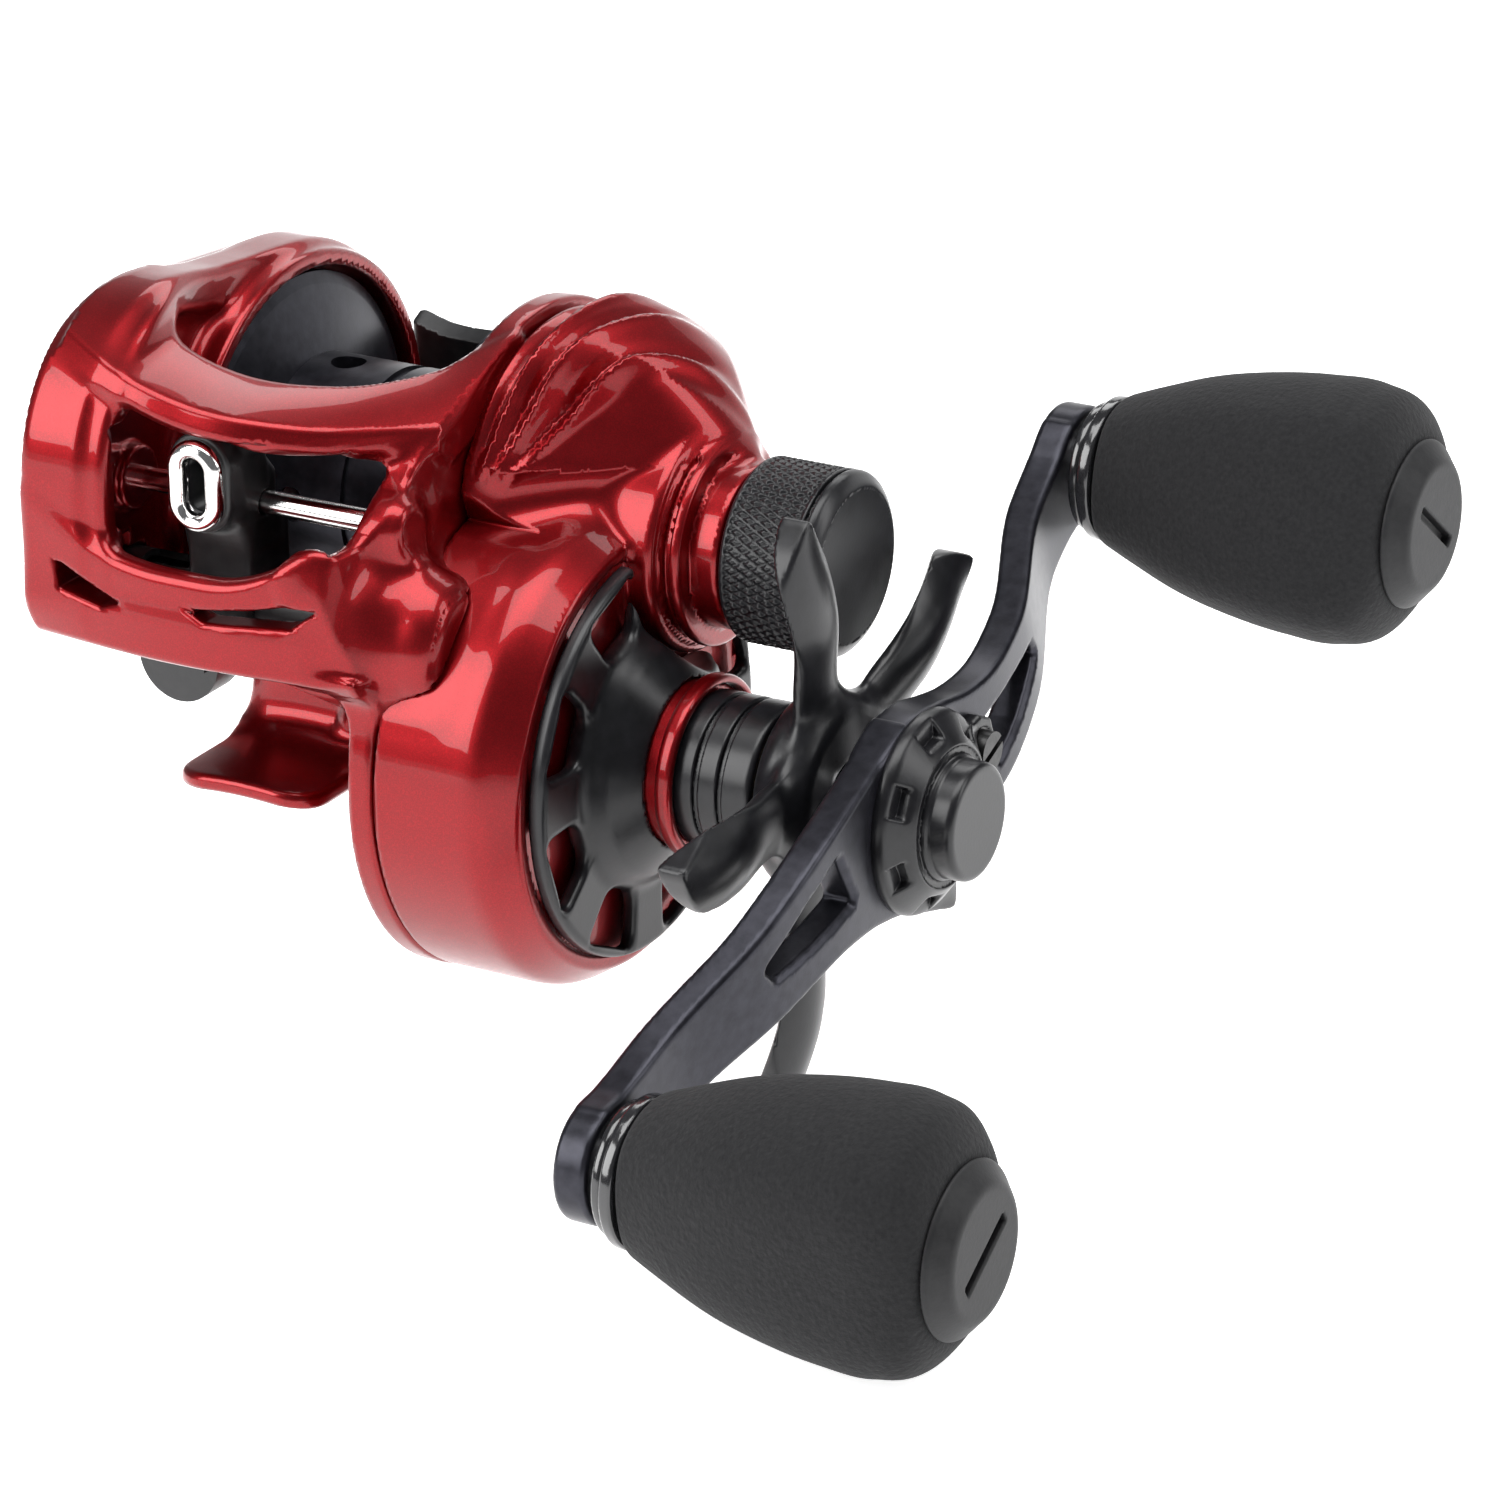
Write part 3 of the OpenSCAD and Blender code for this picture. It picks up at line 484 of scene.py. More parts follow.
# Vent slots of the front bar, as (x, z)
LEFT_SLOT = [(-13.9, 20.5), (-13.4, 18.3), (-8.9, 17.5), (-7.0, 18.2), (-9.8, 19.1), (-13.0, 20.5)]
RIGHT_SLOT = [(-0.9, 18.9), (1.0, 18.0), (8.6, 18.5), (11.0, 20.3), (8.4, 20.4), (4.8, 19.6), (1.0, 19.1)]

# Side outlines of the frame's low parts, and of the line guide's way, as (y, z)
FLOOR = [(-31, 13.4), (-31.8, 14.4), (-17, 5.2), (-15.6, 1.6), (11, 1.6), (14.6, 6), (9, 4.6), (-14.8, 7.6)]
REAR_BAR = [(10.2, 3), (15.2, 7.4), (16.6, 9.8), (14.6, 10.6), (9.4, 4.6)]
BOSS_LEDGE = [(-31, 25.2), (-24, 22.4), (-21.5, 24), (-24, 27.6), (-30.5, 30)]
GUIDE_WAY = [
    (-30.5, 23.2), (-30.5, 31.95), (-28.1, 31.95), (-28.1, 30.7), (-23.9, 30.7), (-21.3, 27.8), (-19, 22),
    (-19, 11.3), (-28.2, 11.3), (-28.4, 23.2),
]


def foot(x, y, z):
    """Two thin arched tongues that run out from a waisted stem."""
    arch = 0.012 * x * x
    tongue = smax(span(z + arch, 0.75, 2.2), span(x, -7, 7), 0.7)
    tip = np.hypot(np.maximum(np.abs(x) - 3.4, 0), np.maximum(np.abs(y) - 24.6, 0)) - 3.7
    tongue = smax(tongue, tip, 0.7)
    stem = smax(smax(span(x, -5.8, 7.4), span(y, -16.2, 12.5), 2.5), span(z, 1.0, 8), 0.8)
    return smin(tongue, stem, 4)


def frame_shell(x, y, z):
    r_spool = from_spool(y, z)
    r_main = from_main(y, z)
    palm = palm_profile(y, z)
    plate = plate_profile(y, z)
    seam = palm_seam(y)
    # Palm side: a rim that follows the profile, a wall, and the spool ring standing out of it
    inner = -11.6 + 2.6 * ease(-12, -25, y)
    rim = smax(smax(palm, -palm - 2.6, 0.8), np.maximum(x - inner, seam - x), 0.9)
    wall = smax(smax(palm + 0.5, x + 12.4, 0.5), seam - x, 0.3)
    ring = smax(smax(r_spool - RING_R, span(x, -14.8, -9.5), 0.5), RING_BORE - r_spool, 0.4)
    d = smin(smin(rim, wall, 2.4), ring, 1.6)
    # Handle side: ahead of the seam the skin turns inwards, towards the front bar
    fold_y, fold_z, lean, curve = -14.5, 33, 0.05, 0.022
    ahead = np.maximum(0.477 * (z - fold_z) - 0.878 * (y - fold_y), 0)
    skin = (x - PLATE_X - 0.1 + lean * ahead + curve * ahead ** 2) / np.hypot(1, lean + 2 * curve * ahead)
    cheek = smax(smax(plate, cheek_outline(y, z), 0.6), skin, 0.5)
    cheek = smax(cheek, np.minimum(-2.3 - skin, 12.1 - x), 0.5)
    d = smin(d, cheek, 0.8)
    d = smin(d, smax(front_shell(x, y, z), skin, 3.0), 1.6)
    bar_end = smax(circle(y, z, BAR_Y, BAR_Z, 1.9), span(x, 12.3, 15.0), 0.8)
    d = smin(d, bar_end, 2.5)
    swell = smax(smax(worm_swell(x, y, z), 0.05 - cover_side(y, z), 0.3), 11 - x, 0.5)
    d = smin(d, swell, 4.0)
    d = smin(d, bridge(x, y, z), 1.6)
    # Floor below the spool, and the rear bar
    low = smin(polygon(y, z, FLOOR), polygon(y, z, REAR_BAR), 1.0) - 0.25
    low = cut(low, np.maximum(y + 15.6, x - 3.5), 1.0)
    low = cut(low, np.maximum(y + 4, x + 6.5), 1.0)
    d = smin(d, smax(low, span(x, -14.8, 14), 0.4), 1.2)
    d = smin(d, foot(x, y, z), 2.0)
    # Boss of the guide bar and the ledge below it, on the palm-side wall
    boss = smax(circle(y, z, BAR_Y, BAR_Z, 2.7), span(x, -13, -11.0), 0.4)
    ledge = smax(polygon(y, z, BOSS_LEDGE), span(x, -13, -11.7), 0.4)
    d = smin(d, smin(boss, ledge, 0.5), 0.5)
    # Room for the spool, the worm, the gears and the release knob
    d = cut(d, np.maximum(r_spool - RING_BORE, x - 12.3), 0.4)
    d = cut(d, np.maximum(r_spool - 5, 10 - x), 0.3)
    r_worm = np.hypot(y - WORM_Y, z - WORM_Z)
    for axis, radius, start, end in (
        (r_worm, 3.0, -14, 17), (r_worm, 4.4, 12.2, 18.9), (r_main, 4.5, 13.2, 20),
    ):
        d = cut(d, np.maximum(axis - radius, span(x, start, end)), 0.3)
    d = cut(d, release_hole(x, y, z), 0.3)
    # The way of the line guide from one end of its travel to the other
    d = cut(d, np.maximum(span(x, -10.7, 11.3), polygon(y, z, GUIDE_WAY)), 0.3)
    for slot in (LEFT_SLOT, RIGHT_SLOT):
        d = cut(d, np.maximum(polygon(x, z, slot) + 0.05, y + 24), 0.4)
    return d


# ---- Handle-side cover ---------------------------------------------------------------------------

FAN_START, FAN_SPREAD, FAN_RIDGES, FAN_TIP_X = math.radians(172), math.radians(24), 3.0, 15.0
SCREW_CIRCLE, SCREW_ANGLES, SCREW_R, SCREW_SEAT = 14.4, (20, -35), 2.0, 21.4
COLLAR_R = 6.9


def pleats(x, y, z):
    """Fan of ridges that opens from one tip at the seam and runs over the top of the cover."""
    run = 18 * (FAN_START - np.arctan2(z - SPOOL_Z, y - SPOOL_Y))
    w = np.arctan2(x - FAN_TIP_X, np.maximum(run, 0) + 1) / FAN_SPREAD
    turns = 2 * np.pi * FAN_RIDGES * w
    wave = (np.cos(turns) + np.cos(3 * turns) / 9) / 1.11
    height = np.minimum(0.75, 0.06 * np.clip(run - 6, 0, 40)) * ease(36, 27, run)
    return height * wave * ease(-0.05, 0.08, w) * ease(1.12, 0.95, w)


def cover_body(x, y, z):
    r_spool = from_spool(y, z)
    r_main = from_main(y, z)
    drum = smax(r_main - DRUM_R, (x - DRUM_END) * 0.548 + (r_main - DRUM_R) * 0.836, 0.8)
    drum = smax(drum, x - RIM_X, 0.3)
    # The upper lobe leans back: its outer face is lower towards the rear
    face = (x - 24.4) * 0.78 + (r_spool - 17.8) * 0.625
    rear = (x - 26.2) * 0.72 + (y - 9.0) * 0.69
    lobe = smax(smax(r_spool - 16.5 - 1.8 * ease(13.5, 20, x), face, 4.5), rear, 1.2)
    lobe = smax(lobe, (x - 15.2 + 1.3 * cover_side(y, z)) / 1.64, 3.5)
    lobe = lobe - pleats(x, y, z)
    return smin(smin(drum, worm_swell(x, y, z), 3.0), lobe, 4.5)


def handle_cover(x, y, z):
    r_spool = from_spool(y, z)
    r_main = from_main(y, z)
    body = smax(cover_body(x, y, z), cover_side(y, z) + 0.12, 0.3)
    # Stepped boss of the tension knob and the tube round the main shaft
    boss = smax(r_spool - 9.6, x - 29.2, 0.8)
    boss = smin(boss, smax(r_spool - 8.7, x - 31.2, 0.5), 0.4)
    boss = cut(boss, np.maximum(np.abs(x - 29.9) - 0.35, 8.1 - r_spool), 0.25)
    boss = np.minimum(boss, smax(r_spool - 7, x - 33.8, 0.4))
    boss = np.minimum(boss, smax(r_spool - 5.6, x - 38.6, 0.3))
    # Recess behind the vent ring, with a rim left standing at its edge
    body = cut(body, np.maximum(r_main - 17.1, 26.6 - x), 0.35)
    d = smin(body, np.maximum(boss, 20 - x), 0.8)
    d = np.minimum(d, smax(r_main - COLLAR_R, x - 33.9, 0.3))
    hollow = smax(body + WALL, x - 25.0, 0.5)
    pillar = np.minimum(r_spool - 5.4, r_main - COLLAR_R)
    d = cut(d, np.maximum(hollow, -pillar), 0.4)
    for axis, radius, start, end in (
        (r_main, 6, 25, 32), (r_main, 4.3, 10, 40),
        (r_spool, 4, 10, 26.9), (r_spool, 2.4, 20, 32), (r_spool, 3.5, 31, 40),
    ):
        d = cut(d, np.maximum(axis - radius, span(x, start, end)), 0.2)
    for angle in SCREW_ANGLES:
        cy = SPOOL_Y + SCREW_CIRCLE * math.cos(math.radians(angle))
        cz = SPOOL_Z + SCREW_CIRCLE * math.sin(math.radians(angle))
        d = cut(d, np.maximum(circle(y, z, cy, cz, SCREW_R), SCREW_SEAT - x), 0.4)
    return smax(d, COVER_X - x, 0.35)


# ---- Palm-side cover -----------------------------------------------------------------------------


def palm_cover(x, y, z):
    r_spool = from_spool(y, z)
    profile = palm_profile(y, z)
    inset = 0.07 + 0.13 * ease(-8, -25, y)
    skin = profile + inset * (x - PALM_SEAM) ** 2
    outside = smax(skin, PALM_END + 0.05 - x, 5)
    # A shallow groove that follows the outline
    outside = outside + 0.35 * np.exp(-((profile + 6.2) / 0.8) ** 2) * ease(-18, -21, x)
    inside = smax(skin + 2.4, -22.2 - x, 6)
    inside = np.maximum(inside, 5.4 - r_spool)
    d = cut(outside, inside, 0.4)
    d = cut(d, np.maximum(r_spool - 8.2, x + 23.85), 0.2)
    d = cut(d, np.maximum(r_spool - 2.05, x + 14), 0.1)
    d = cut(d, np.maximum(r_spool - 4, -19 - x), 0.1)
    d = cut(d, release_hole(x, y, z), 0.3)
    return smax(d, x - palm_seam(y) + 0.18, 0.3)


build("frame_shell", frame_shell, (-17, -35, -18), (20, 18, 43), 0.42, "red_paint", "root", ["frame"])
build(
    "gear_side_shell", handle_cover, (14, -31, -18), (39, 20, 40), 0.38, "red_paint", "root",
    ["handle_side_cover"],
)
build(
    "palm_shell", palm_cover, (-24.5, -34, -2), (-13, 19, 42), 0.42, "red_paint", "palm_side",
    ["palm_side_cover"],
)


# ---- Rings and collars on the gear side ----------------------------------------------------------


VENT_WINDOWS, VENT_PHASE, VENT_R, VENT_BACK = 8, math.radians(20), 17.0, 27.05


def vent_ring(x, y, z):
    r = from_main(y, z)
    disc = smax(smax(r - VENT_R, x - 28.5, 0.7), VENT_BACK - x, 0.2)
    dome = smax(smax(r - 10.7, (x - 29.9) * 0.8 + (r - 10.0) * 0.6, 1.2), VENT_BACK - x, 0.2)
    dome = smax(dome, x - 33.0, 0.6)
    d = smin(disc, dome, 1.4)
    d = cut(d, r - 7.0, 0.3)
    pitch = math.radians(360 / VENT_WINDOWS)
    angle = np.arctan2(z - MAIN_Z, y - MAIN_Y) - VENT_PHASE
    local = (angle + pitch / 2) % pitch - pitch / 2
    u, v = r * np.cos(local), r * np.sin(local)
    window = smax(span(u, 11.3, 16.1), np.abs(v) - 2.3 - 0.34 * (u - 11.3), 1.6)
    d = cut(d, np.maximum(window, 26 - x), 0.6)
    return cut(d, from_spool(y, z) - 10.6, 0.4)


def shaft_collar(x, y, z):
    r = from_main(y, z)
    d = smax(r - 6.5, span(x, 33.95, 41.25), 0.5)
    for groove in (36.2, 38.4):
        d = cut(d, np.maximum(np.abs(x - groove) - 0.22, 6.15 - r), 0.2)
    return cut(d, r - 4.3, 0.2)


def trim_ring(x, y, z):
    r = from_main(y, z)
    return smax(smax(r - 7.7, span(x, 33.1, 34.6), 0.5), 6.95 - r, 0.2)


build("vent_disc", vent_ring, (26, -28, -14.5), (34, 8, 21.5), 0.24, "black_satin", "root", ["vent_ring"])
build(
    "stepped_collar", shaft_collar, (33, -17, -4), (42, -3, 11), 0.18, "black_satin", "root", ["shaft_collar"]
)
build("red_trim", trim_ring, (32.5, -18.5, -5), (35.2, -1.5, 12), 0.18, "red_paint", "root", ["trim_ring"])


# ---- Tension knob --------------------------------------------------------------------------------


KNURL_LINES, KNURL_SLOPE, KNURL_DEPTH = 30, 1.95, 0.24


def tension_knob(x, y, z):
    r = from_spool(y, z)
    angle = np.arctan2(z - SPOOL_Z, y - SPOOL_Y)
    # Diamond knurl: two crossed sets of grooves
    around, rise = KNURL_LINES * angle, KNURL_SLOPE * x
    knurl = np.maximum(np.abs(np.sin(around + rise)), np.abs(np.sin(around - rise)))
    band = ease(34.6, 35.0, x) * ease(40.9, 40.5, x)
    side = r - 7.75 + KNURL_DEPTH * knurl ** 3 * band
    d = smax(side, (x - 42.3) * 0.78 + (r - 7.3) * 0.62, 0.35)
    d = smax(d, span(x, 34.2, 42.95), 0.6)
    d = cut(d, np.maximum(np.abs(x - 41.2) - 0.16, 7.3 - r), 0.15)
    d = cut(d, np.maximum(r - 6.4, 42.75 - x), 0.1)
    return cut(d, np.maximum(r - 5.7, x - 39), 0.1)


build(
    "knurled_knob", tension_knob, (34, -9.3, 11.4), (43.2, 6.9, 27.6), 0.16, "black_satin", "tension",
    ["tension_knob"],
)


# ---- Star drag -----------------------------------------------------------------------------------


STAR_BLADES, STAR_PHASE, BLADE_ROOT, BLADE_TIP = 5, 30, 4, 25.8


def star_drag(x, y, z):
    u, v = y - MAIN_Y, z - MAIN_Z
    r = np.hypot(u, v)
    d = smax(smax(r - 8.4, (x - 42.0) * -0.7 + (r - 7.4) * 0.7, 0.6), span(x, 41.75, 46.9), 0.8)
    d = smax(d, (x - 46.9) * 0.7 + (r - 7.2) * 0.7, 0.6)
    knots = (BLADE_ROOT, 9, 13, 17, 20, 24, BLADE_TIP)
    for i in range(STAR_BLADES):
        p, q = turn(u, v, math.radians(STAR_PHASE + 360 / STAR_BLADES * i))
        # Each blade swells towards its end, bows outward and comes to a blunt point
        upper = along(p, knots, (3.8, 3.1, 3.1, 4.2, 4.8, 2.6, 0.2))
        lower = along(p, knots, (-4.0, -3.1, -2.8, -3.0, -3.0, -1.1, -0.2))
        blade = np.maximum(q - upper, lower - q) * 0.93
        blade = smax(blade, span(p, BLADE_ROOT, BLADE_TIP), 0.5)
        lift = 45.0 + 1.1 * ease(9, 17, p) - 0.9 * ease(18, 26, p)
        crown = 1.3 - 0.1 * (q - (upper + lower) / 2) ** 2
        blade = smax(blade, np.abs(x - lift) - crown, 0.35)
        d = smin(d, blade, 1.6)
    return cut(d, r - 3.0, 0.2)


build("star_wheel", star_drag, (41.4, -36.5, -23), (48, 16.5, 30), 0.33, "black_satin", "star", ["star_drag"])


# ---- Handle --------------------------------------------------------------------------------------


def handle_place():
    """From the handle's own axes, with +Y out along the arm, to the row frame."""
    return Matrix.Translation((0, MAIN_Y, MAIN_Z)) @ Matrix.Rotation(HANDLE_A, 4, "X")


ARM_SLOT = [(12, -1.1), (17, -1.6), (22, -2.3), (22.4, -3.2), (21.6, -3.5), (17, -4.8), (12.6, -5.4)]
RETAINER_EAR = [(5, -3.6), (9.6, -2.9), (11, -1.2), (11, 0.6), (9.6, 2.0), (5, 3)]
RETAINER_NOTCHES, RETAINER_PHASE = 7, math.radians(28)


def arm_half(x, y, z):
    """Half of the arm: y runs out to the knob, and the leading edge is +z."""
    knots = (0, 5.6, 10, 14, 20, 26, 32, 38, 41.5)
    top = along(y, knots, (8.1, 6.4, 4.0, 2.6, 2.1, 2.4, 3.0, 3.8, 4.6))
    bottom = along(y, knots, (-8.1, -8.3, -8.4, -8.3, -7.4, -6.0, -4.7, -4.3, -4.6))
    d = np.maximum(z - top, bottom - z) * 0.95
    d = smax(d, y - 41.5, 0.2)
    d = smin(d, circle(y, z, HANDLE_R, 0, 4.9), 0.8)
    sweep = along(y, (0, 17, 21.5, 33, 37, 50), (0, 0, -0.7, -4.4, -ARM_DROP, -ARM_DROP))
    face = ARM_FACE + sweep
    d = smax(d, span(x - sweep, ARM_FACE - ARM_T, ARM_FACE) * 0.95, 0.55)
    d = smax(d, -1.0 - y, 0.2)
    slot = polygon(y, z, ARM_SLOT) - 0.45
    bevel = (face - x) * 0.7 + slot * 0.7 - 0.35
    d = cut(d, slot, 0.3)
    return cut(d, np.maximum(bevel, slot - 0.5), 0.15)


def handle_arm(x, y, z):
    d = np.minimum(arm_half(x, y, z), arm_half(x, -y, -z))
    d = smin(d, smax(np.hypot(y, z) - 8.2, span(x, ARM_FACE - ARM_T, ARM_FACE), 0.5), 0.8)
    for place, radius in ((0, 2.5), (HANDLE_R, 1.6), (-HANDLE_R, 1.6)):
        d = cut(d, circle(y, z, place, 0, radius), 0.15)
    return d


def nut_retainer(x, y, z):
    """Domed cap over the nut, with seven notches and a smooth button in its centre."""
    r = np.hypot(y, z)
    d = smax(smax(r - 8.5, (x - 54.5) * 0.8 + (r - 8.3) * 0.6, 0.5), span(x, ARM_FACE, 56.6), 0.5)
    ear = smax(polygon(y, z, RETAINER_EAR), span(x, ARM_FACE, 54.6), 0.4)
    d = smin(d, ear, 0.6)
    angle = np.arctan2(z, y) - RETAINER_PHASE
    pitch = 2 * math.pi / RETAINER_NOTCHES
    local = (angle + pitch / 2) % pitch - pitch / 2
    notch = smax(np.abs(r * np.sin(local)) - 1.25, 6.6 - r * np.cos(local), 0.5)
    d = cut(d, np.maximum(notch, 54.6 - x), 0.35)
    d = cut(d, np.maximum(np.abs(r - 5.5) - 0.3, 56.1 - x), 0.25)
    button = smax(smax(r - 4.9, x - 58.75, 0.7), 55.5 - x, 0.2)
    d = smin(d, button, 0.3)
    hollow = np.maximum(r - 6, x - 55.5)
    hollow = np.minimum(hollow, np.maximum(r - 3, x - 57.2))
    d = cut(d, hollow, 0.2)
    for radius, start in ((0.9, 50), (1.9, 54.4)):
        d = cut(d, np.maximum(circle(y, z, 8.6, -0.8, radius), start - x), 0.15)
    return d


build(
    "swept_arm", handle_arm, (44, -48, -9), (54, 48, 9), 0.32, "black_anodised", "drive", ["handle_arm"],
    handle_place(),
)
build(
    "nut_cap", nut_retainer, (53, -9, -9), (59, 11.5, 9), 0.2, "black_satin", "drive", ["nut_retainer"],
    handle_place(),
)


# ---- Knobs ---------------------------------------------------------------------------------------


def knob_grip(x, y, z):
    """Foam grip: an egg with two flat sides, narrow at the arm."""
    r = np.hypot(y * 0.97, z)
    knots = (GRIP_X, 54.5, 59, 64, 69, 73.5, 76.5, CAP_X)
    width = along(x, knots, (6.3, 7.6, 9.2, 10.3, 10.9, 10.9, 9.8, 7.6))
    flat = along(x, (GRIP_X, 57, 63, 70, 75, CAP_X), (6.4, 7.6, 8.6, 9.0, 8.6, 7.5))
    d = smax(r - width, np.abs(y) - flat, 2.6) * 0.93
    d = smax(d, span(x, GRIP_X + 0.03, CAP_X), 0.8)
    return cut(d, r - 3.4, 0.2)


def knob_base(x, y, z):
    r = np.hypot(y, z)
    d = smax(r - 5.5, span(x, KNOB_X, 49.9), 0.35)
    d = smin(d, smax(r - 6.15, span(x, 50.05, GRIP_X), 0.35), 0.2)
    d = np.minimum(d, np.maximum(r - 3.35, span(x, 50, 56.1)))
    return cut(d, r - 2.6, 0.15)


def knob_cap(x, y, z):
    """Matte end cap with a chamfered rim and one slot for a coin."""
    r = np.hypot(y, z)
    d = smax(r - 7.1, (x - 79.2) * 0.75 + (r - 6.4) * 0.66, 0.3)
    d = smax(d, span(x, CAP_X + 0.03, KNOB_END - 0.05), 0.3)
    slot = smax(np.abs(z) - 0.5, np.abs(y) - 3.6, 0.3)
    return cut(d, np.maximum(slot, 79.3 - x), 0.2)


def knobs():
    """Both knobs: the side, which way along the arm, and the turns in degrees of the grip and its slot."""
    grips = (("rear", 1, 78, 52), ("front", -1, 96, 122))
    for side, way, grip_turn, slot_turn in grips:
        axis = Matrix.Translation(
            (0, MAIN_Y + way * HANDLE_R * math.cos(HANDLE_A), MAIN_Z + way * HANDLE_R * math.sin(HANDLE_A))
        )
        body = f"{side}_knob"
        grip_at = axis @ Matrix.Rotation(math.radians(grip_turn - 90), 4, "X")
        slot_at = axis @ Matrix.Rotation(math.radians(slot_turn - 90), 4, "X")
        build(
            f"foam_grip_{side}", knob_grip, (51, -11, -11), (78.5, 11, 11), 0.4, "eva_foam", body,
            [f"knob_grip_{side}"], grip_at,
        )
        build(
            f"base_ring_{side}", knob_base, (48.8, -6.5, -6.5), (56.4, 6.5, 6.5), 0.2, "black_gloss", body,
            [f"knob_base_{side}"], axis,
        )
        build(
            f"end_cap_{side}", knob_cap, (78, -7.5, -7.5), (80.5, 7.5, 7.5), 0.18, "black_matte", body,
            [f"knob_cap_{side}"], slot_at,
        )


knobs()


# ---- Line guide ----------------------------------------------------------------------------------


def eyelet(x, y, z):
    """Polished oval ring: a fat lip round a tall hole."""
    u, v = x - GUIDE_X, z - GUIDE_Z
    oval = np.hypot(u, np.maximum(np.abs(v) - 1.35, 0)) - 1.75
    lip = np.hypot(oval, (y - (BAR_Y - 5.2)) * 0.85) - 0.78
    sleeve = np.maximum(np.abs(oval) - 0.35, span(y, BAR_Y - 5.3, BAR_Y - 3.4))
    return smin(lip, sleeve, 0.3)


CARRIAGE_HEAD = [
    (-27.6, 24.6), (-27.9, 29.6), (-26.9, 30.4), (-24.3, 30.4), (-21.9, 27.6), (-21.9, 21.5), (-26, 21.5)
]
CARRIAGE_HALF = 3.1


def line_guide(x, y, z):
    """Carriage: a head with a round snout, and a barrel round the worm."""
    u = x - GUIDE_X
    head = smax(polygon(y, z, CARRIAGE_HEAD), np.abs(u) - CARRIAGE_HALF, 1.0)
    oval = np.hypot(u, np.maximum(np.abs(z - GUIDE_Z) - 1.35, 0)) - 2.9
    snout = smax(oval, span(y, BAR_Y - 4.8, BAR_Y), 0.4)
    d = smin(head, snout, 0.8)
    barrel = smax(circle(y, z, WORM_Y, WORM_Z, 3.9), np.abs(u) - CARRIAGE_HALF, 0.5)
    neck = smax(span(y, WORM_Y - 3, WORM_Y + 3), span(z, WORM_Z, 24), 0.5)
    neck = smax(neck, np.abs(u) - CARRIAGE_HALF, 0.6)
    d = smin(smin(d, neck, 0.8), barrel, 0.8)
    d = cut(d, circle(y, z, WORM_Y, WORM_Z, 3.05), 0.2)
    d = cut(d, circle(y, z, BAR_Y, BAR_Z, 1.05), 0.2)
    hole = np.hypot(u, np.maximum(np.abs(z - GUIDE_Z) - 1.2, 0)) - 1.1
    d = cut(d, hole, 0.3)
    return cut(d, np.maximum(np.hypot(u, y - WORM_Y) - 1.2, span(z, WORM_Z, WORM_Z + 6)), 0.1)


build(
    "oval_eyelet", eyelet, (-5.5, -31, 22.5), (1.5, -27, 33), 0.15, "polished_steel", "line_guide", ["eyelet"]
)
build(
    "guide_carriage", line_guide, (-5.4, -29.5, 11.5), (1.4, -19, 32), 0.2, "black_plastic", "line_guide",
    ["line_guide"],
)


# ---- Thumb bar -----------------------------------------------------------------------------------


PAD = [(18.2, 16), (19.4, 15.4), (22.2, 18), (23.1, 21), (22.1, 24.2), (19.4, 26.2), (17.8, 25.4)]
PAD_INNER_R, RIB_PITCH = 18.8, 1.6


def thumb_bar(x, y, z):
    """Curved pad between the side walls, dished along its top edge."""
    dish = 0.5 - 0.04 * np.minimum(x + 6, 0) ** 2 - 1.2 * ease(-6, 6, x)
    d = smax(polygon(y, z + dish, PAD), span(x, -11.5, 11.7), 1.0)
    ribs = 0.12 * (1 - np.cos(2 * np.pi * z / RIB_PITCH))
    ribs = ribs * ease(17.5, 18.5, z) * ease(24, 23, z) * ease(11, 10, np.abs(x))
    d = d + ribs * ease(20.5, 21.5, y)
    # Clear of the spool at rest and at each millimetre of the press
    for drop in range(5):
        d = smax(d, PAD_INNER_R - np.hypot(y - SPOOL_Y, z - SPOOL_Z - drop), 0.2)
    return d


build("thumb_pad", thumb_bar, (-12, 14, 14), (12.2, 24, 28), 0.3, "black_plastic", "thumb_bar", ["thumb_bar"])


# ---- Studio --------------------------------------------------------------------------------------

lo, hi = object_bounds()
centre = (lo + hi) / 2

FLOOR_GAP, FLOOR_GLOW, SKY_GLOW = 0.0005, 0.8, 0.16
CAMERA_AZIMUTH, CAMERA_ELEVATION, CAMERA_ROLL = 29.767, 22.540, -0.611
CAMERA_AIM, CAMERA_DISTANCE = Vector((0.035447, -0.005918, 0.003726)), 0.56448
FOCAL_LENGTH, SENSOR_WIDTH = 166.094, 36

# Name, azimuth and elevation in degrees, distance, width and height in metres, power in watts
SOFTBOXES = (
    ("front_left_box", -35, 28, 0.7, 0.34, 0.5, 3.8),
    ("top_box", 20, 82, 0.6, 0.6, 0.34, 3.8),
    ("right_box", 105, 30, 0.7, 0.2, 0.5, 1.6),
    ("back_box", 190, 45, 0.9, 0.7, 0.3, 2.4),
)


def towards(azimuth, elevation):
    """Direction from the object to a camera or a lamp: azimuth 0 is in front of it."""
    a, e = math.radians(azimuth), math.radians(elevation)
    return Vector((math.sin(a) * math.cos(e), -math.cos(a) * math.cos(e), math.sin(e)))


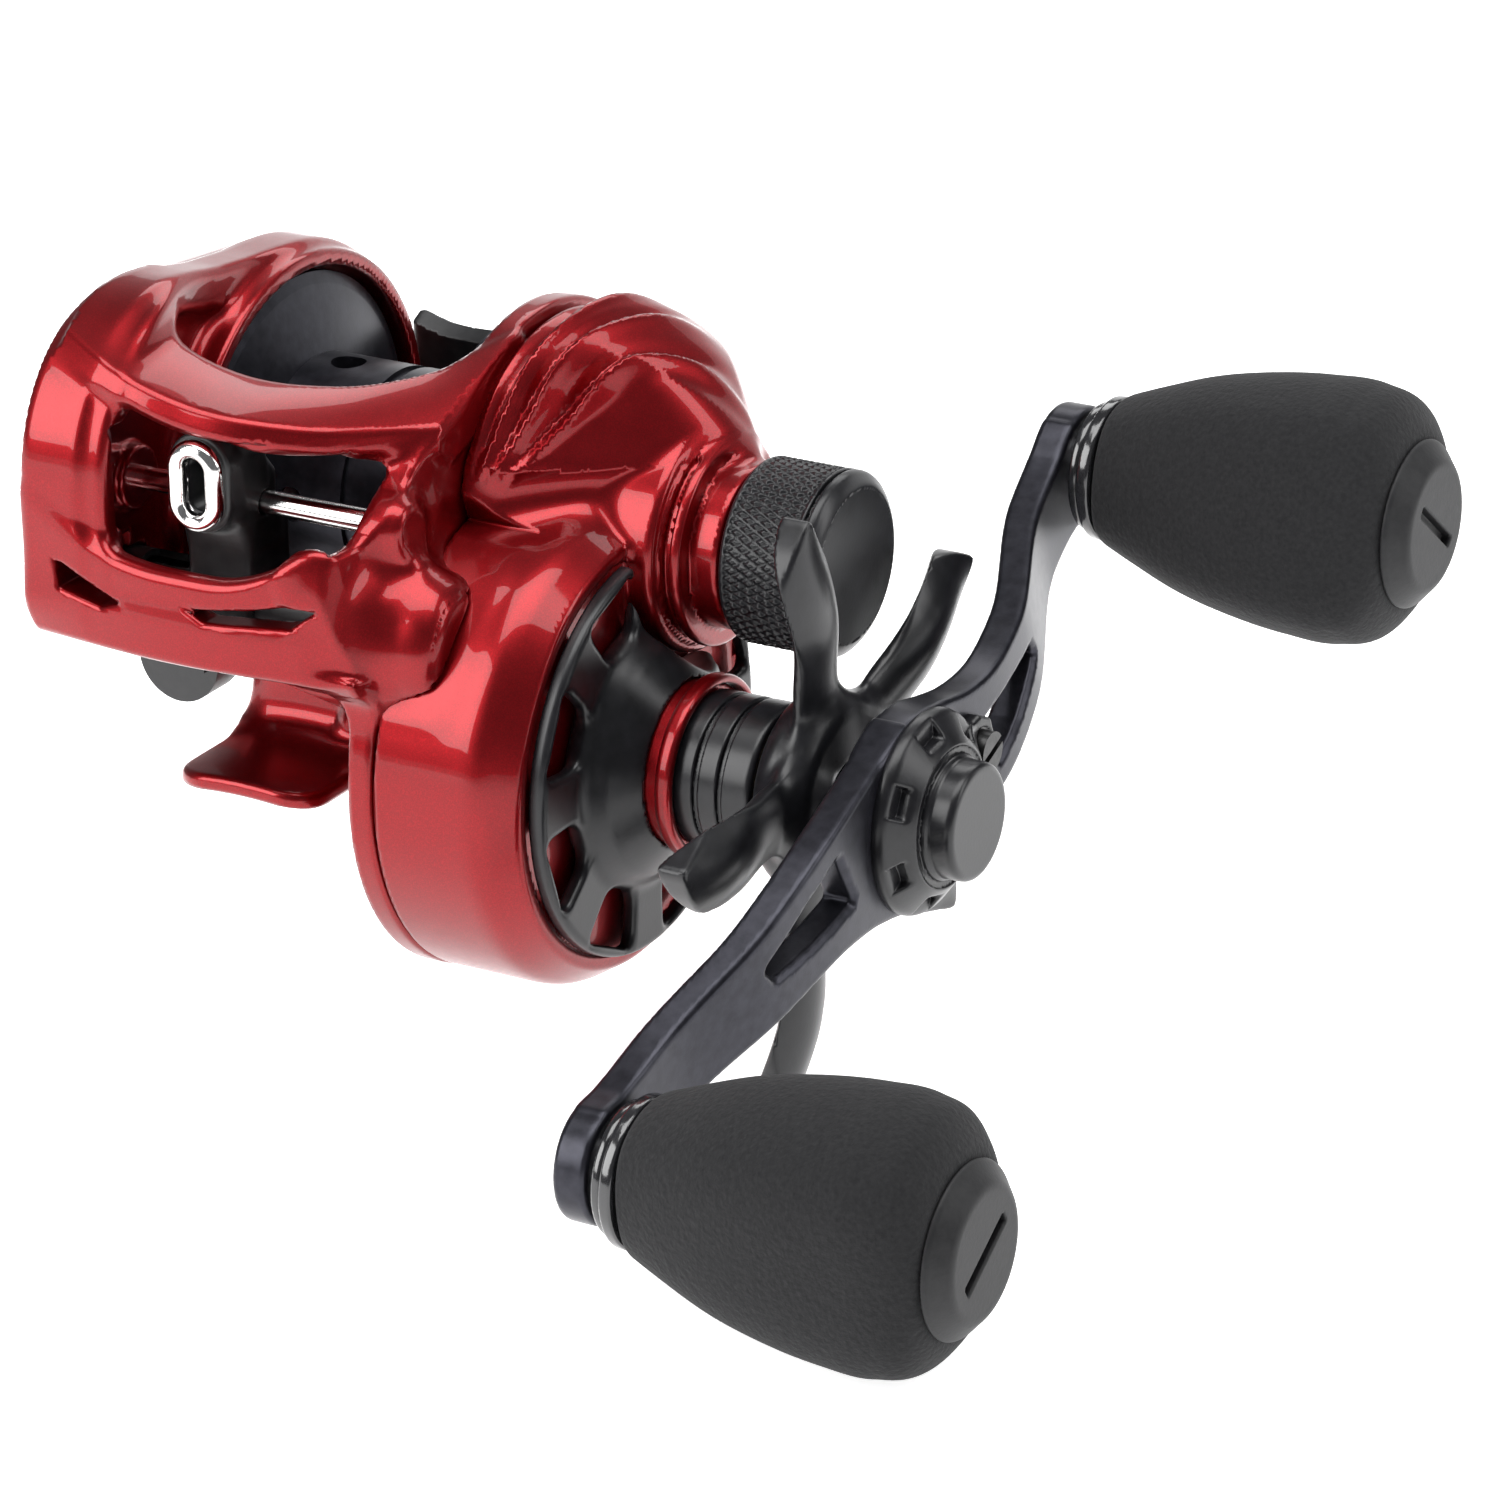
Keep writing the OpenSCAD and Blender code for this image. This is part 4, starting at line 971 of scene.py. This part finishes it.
def studio():
    """Pale floor, and a curved wall far behind, so that no view shows an edge."""
    size, rise, bend = 6.0, 3.0, 1.2
    rows = [(-size, 0.0), (size - bend, 0.0)]
    rows += [
        (size - bend + bend * math.sin(a), bend * (1 - math.cos(a)))
        for a in (math.radians(15 * i) for i in range(1, 7))
    ]
    rows.append((size, rise))
    ground = lo.z - FLOOR_GAP
    points = [(side * size, y, z + ground) for y, z in rows for side in (-1, 1)]
    faces = [(2 * i, 2 * i + 1, 2 * i + 3, 2 * i + 2) for i in range(len(rows) - 1)]
    mesh = bpy.data.meshes.new("studio_floor")
    mesh.from_pydata(points, [], faces)
    floor = bpy.data.objects.new("studio_floor", mesh)
    bpy.context.scene.collection.objects.link(floor)
    paper = tinted("studio_paper", (0.92, 0.92, 0.92), (0.94, 0.94, 0.94), 3, (0.85, 0.9))
    glow = paper.node_tree.nodes["Principled BSDF"].inputs
    glow["Emission Color"].default_value = (1, 1, 1, 1)
    glow["Emission Strength"].default_value = FLOOR_GLOW
    mesh.materials.append(paper)


def softbox(name, azimuth, elevation, distance, width, height, power):
    """Area light turned towards the object's centre."""
    back = towards(azimuth, elevation)
    light = bpy.data.lights.new(name, "AREA")
    light.shape = "RECTANGLE"
    light.size, light.size_y = width, height
    light.energy = power
    lamp = bpy.data.objects.new(name, light)
    bpy.context.scene.collection.objects.link(lamp)
    lamp.location = centre + back * distance
    lamp.rotation_euler = back.to_track_quat("Z", "Y").to_euler()


def camera():
    azimuth, roll = math.radians(CAMERA_AZIMUTH), math.radians(CAMERA_ROLL)
    back = towards(CAMERA_AZIMUTH, CAMERA_ELEVATION)
    right = Vector((math.cos(azimuth), math.sin(azimuth), 0))
    up = back.cross(right)
    turned_right = math.cos(roll) * right + math.sin(roll) * up
    turned_up = back.cross(turned_right)
    data = bpy.data.cameras.new("camera")
    data.sensor_width = SENSOR_WIDTH
    data.lens = FOCAL_LENGTH
    data.clip_start, data.clip_end = 0.01, 50
    eye = bpy.data.objects.new("camera", data)
    bpy.context.scene.collection.objects.link(eye)
    pose = Matrix((turned_right, turned_up, back)).transposed().to_4x4()
    pose.translation = CAMERA_AIM + back * CAMERA_DISTANCE
    eye.matrix_world = pose
    bpy.context.scene.camera = eye


def world():
    light = bpy.data.worlds.new("studio_air")
    bpy.context.scene.world = light
    light.use_nodes = True
    sky = light.node_tree.nodes["Background"]
    sky.inputs["Color"].default_value = (0.96, 0.97, 1.0, 1)
    sky.inputs["Strength"].default_value = SKY_GLOW


studio()
world()
camera()
for row in SOFTBOXES:
    softbox(*row)
bpy.context.scene.view_settings.view_transform = "Standard"
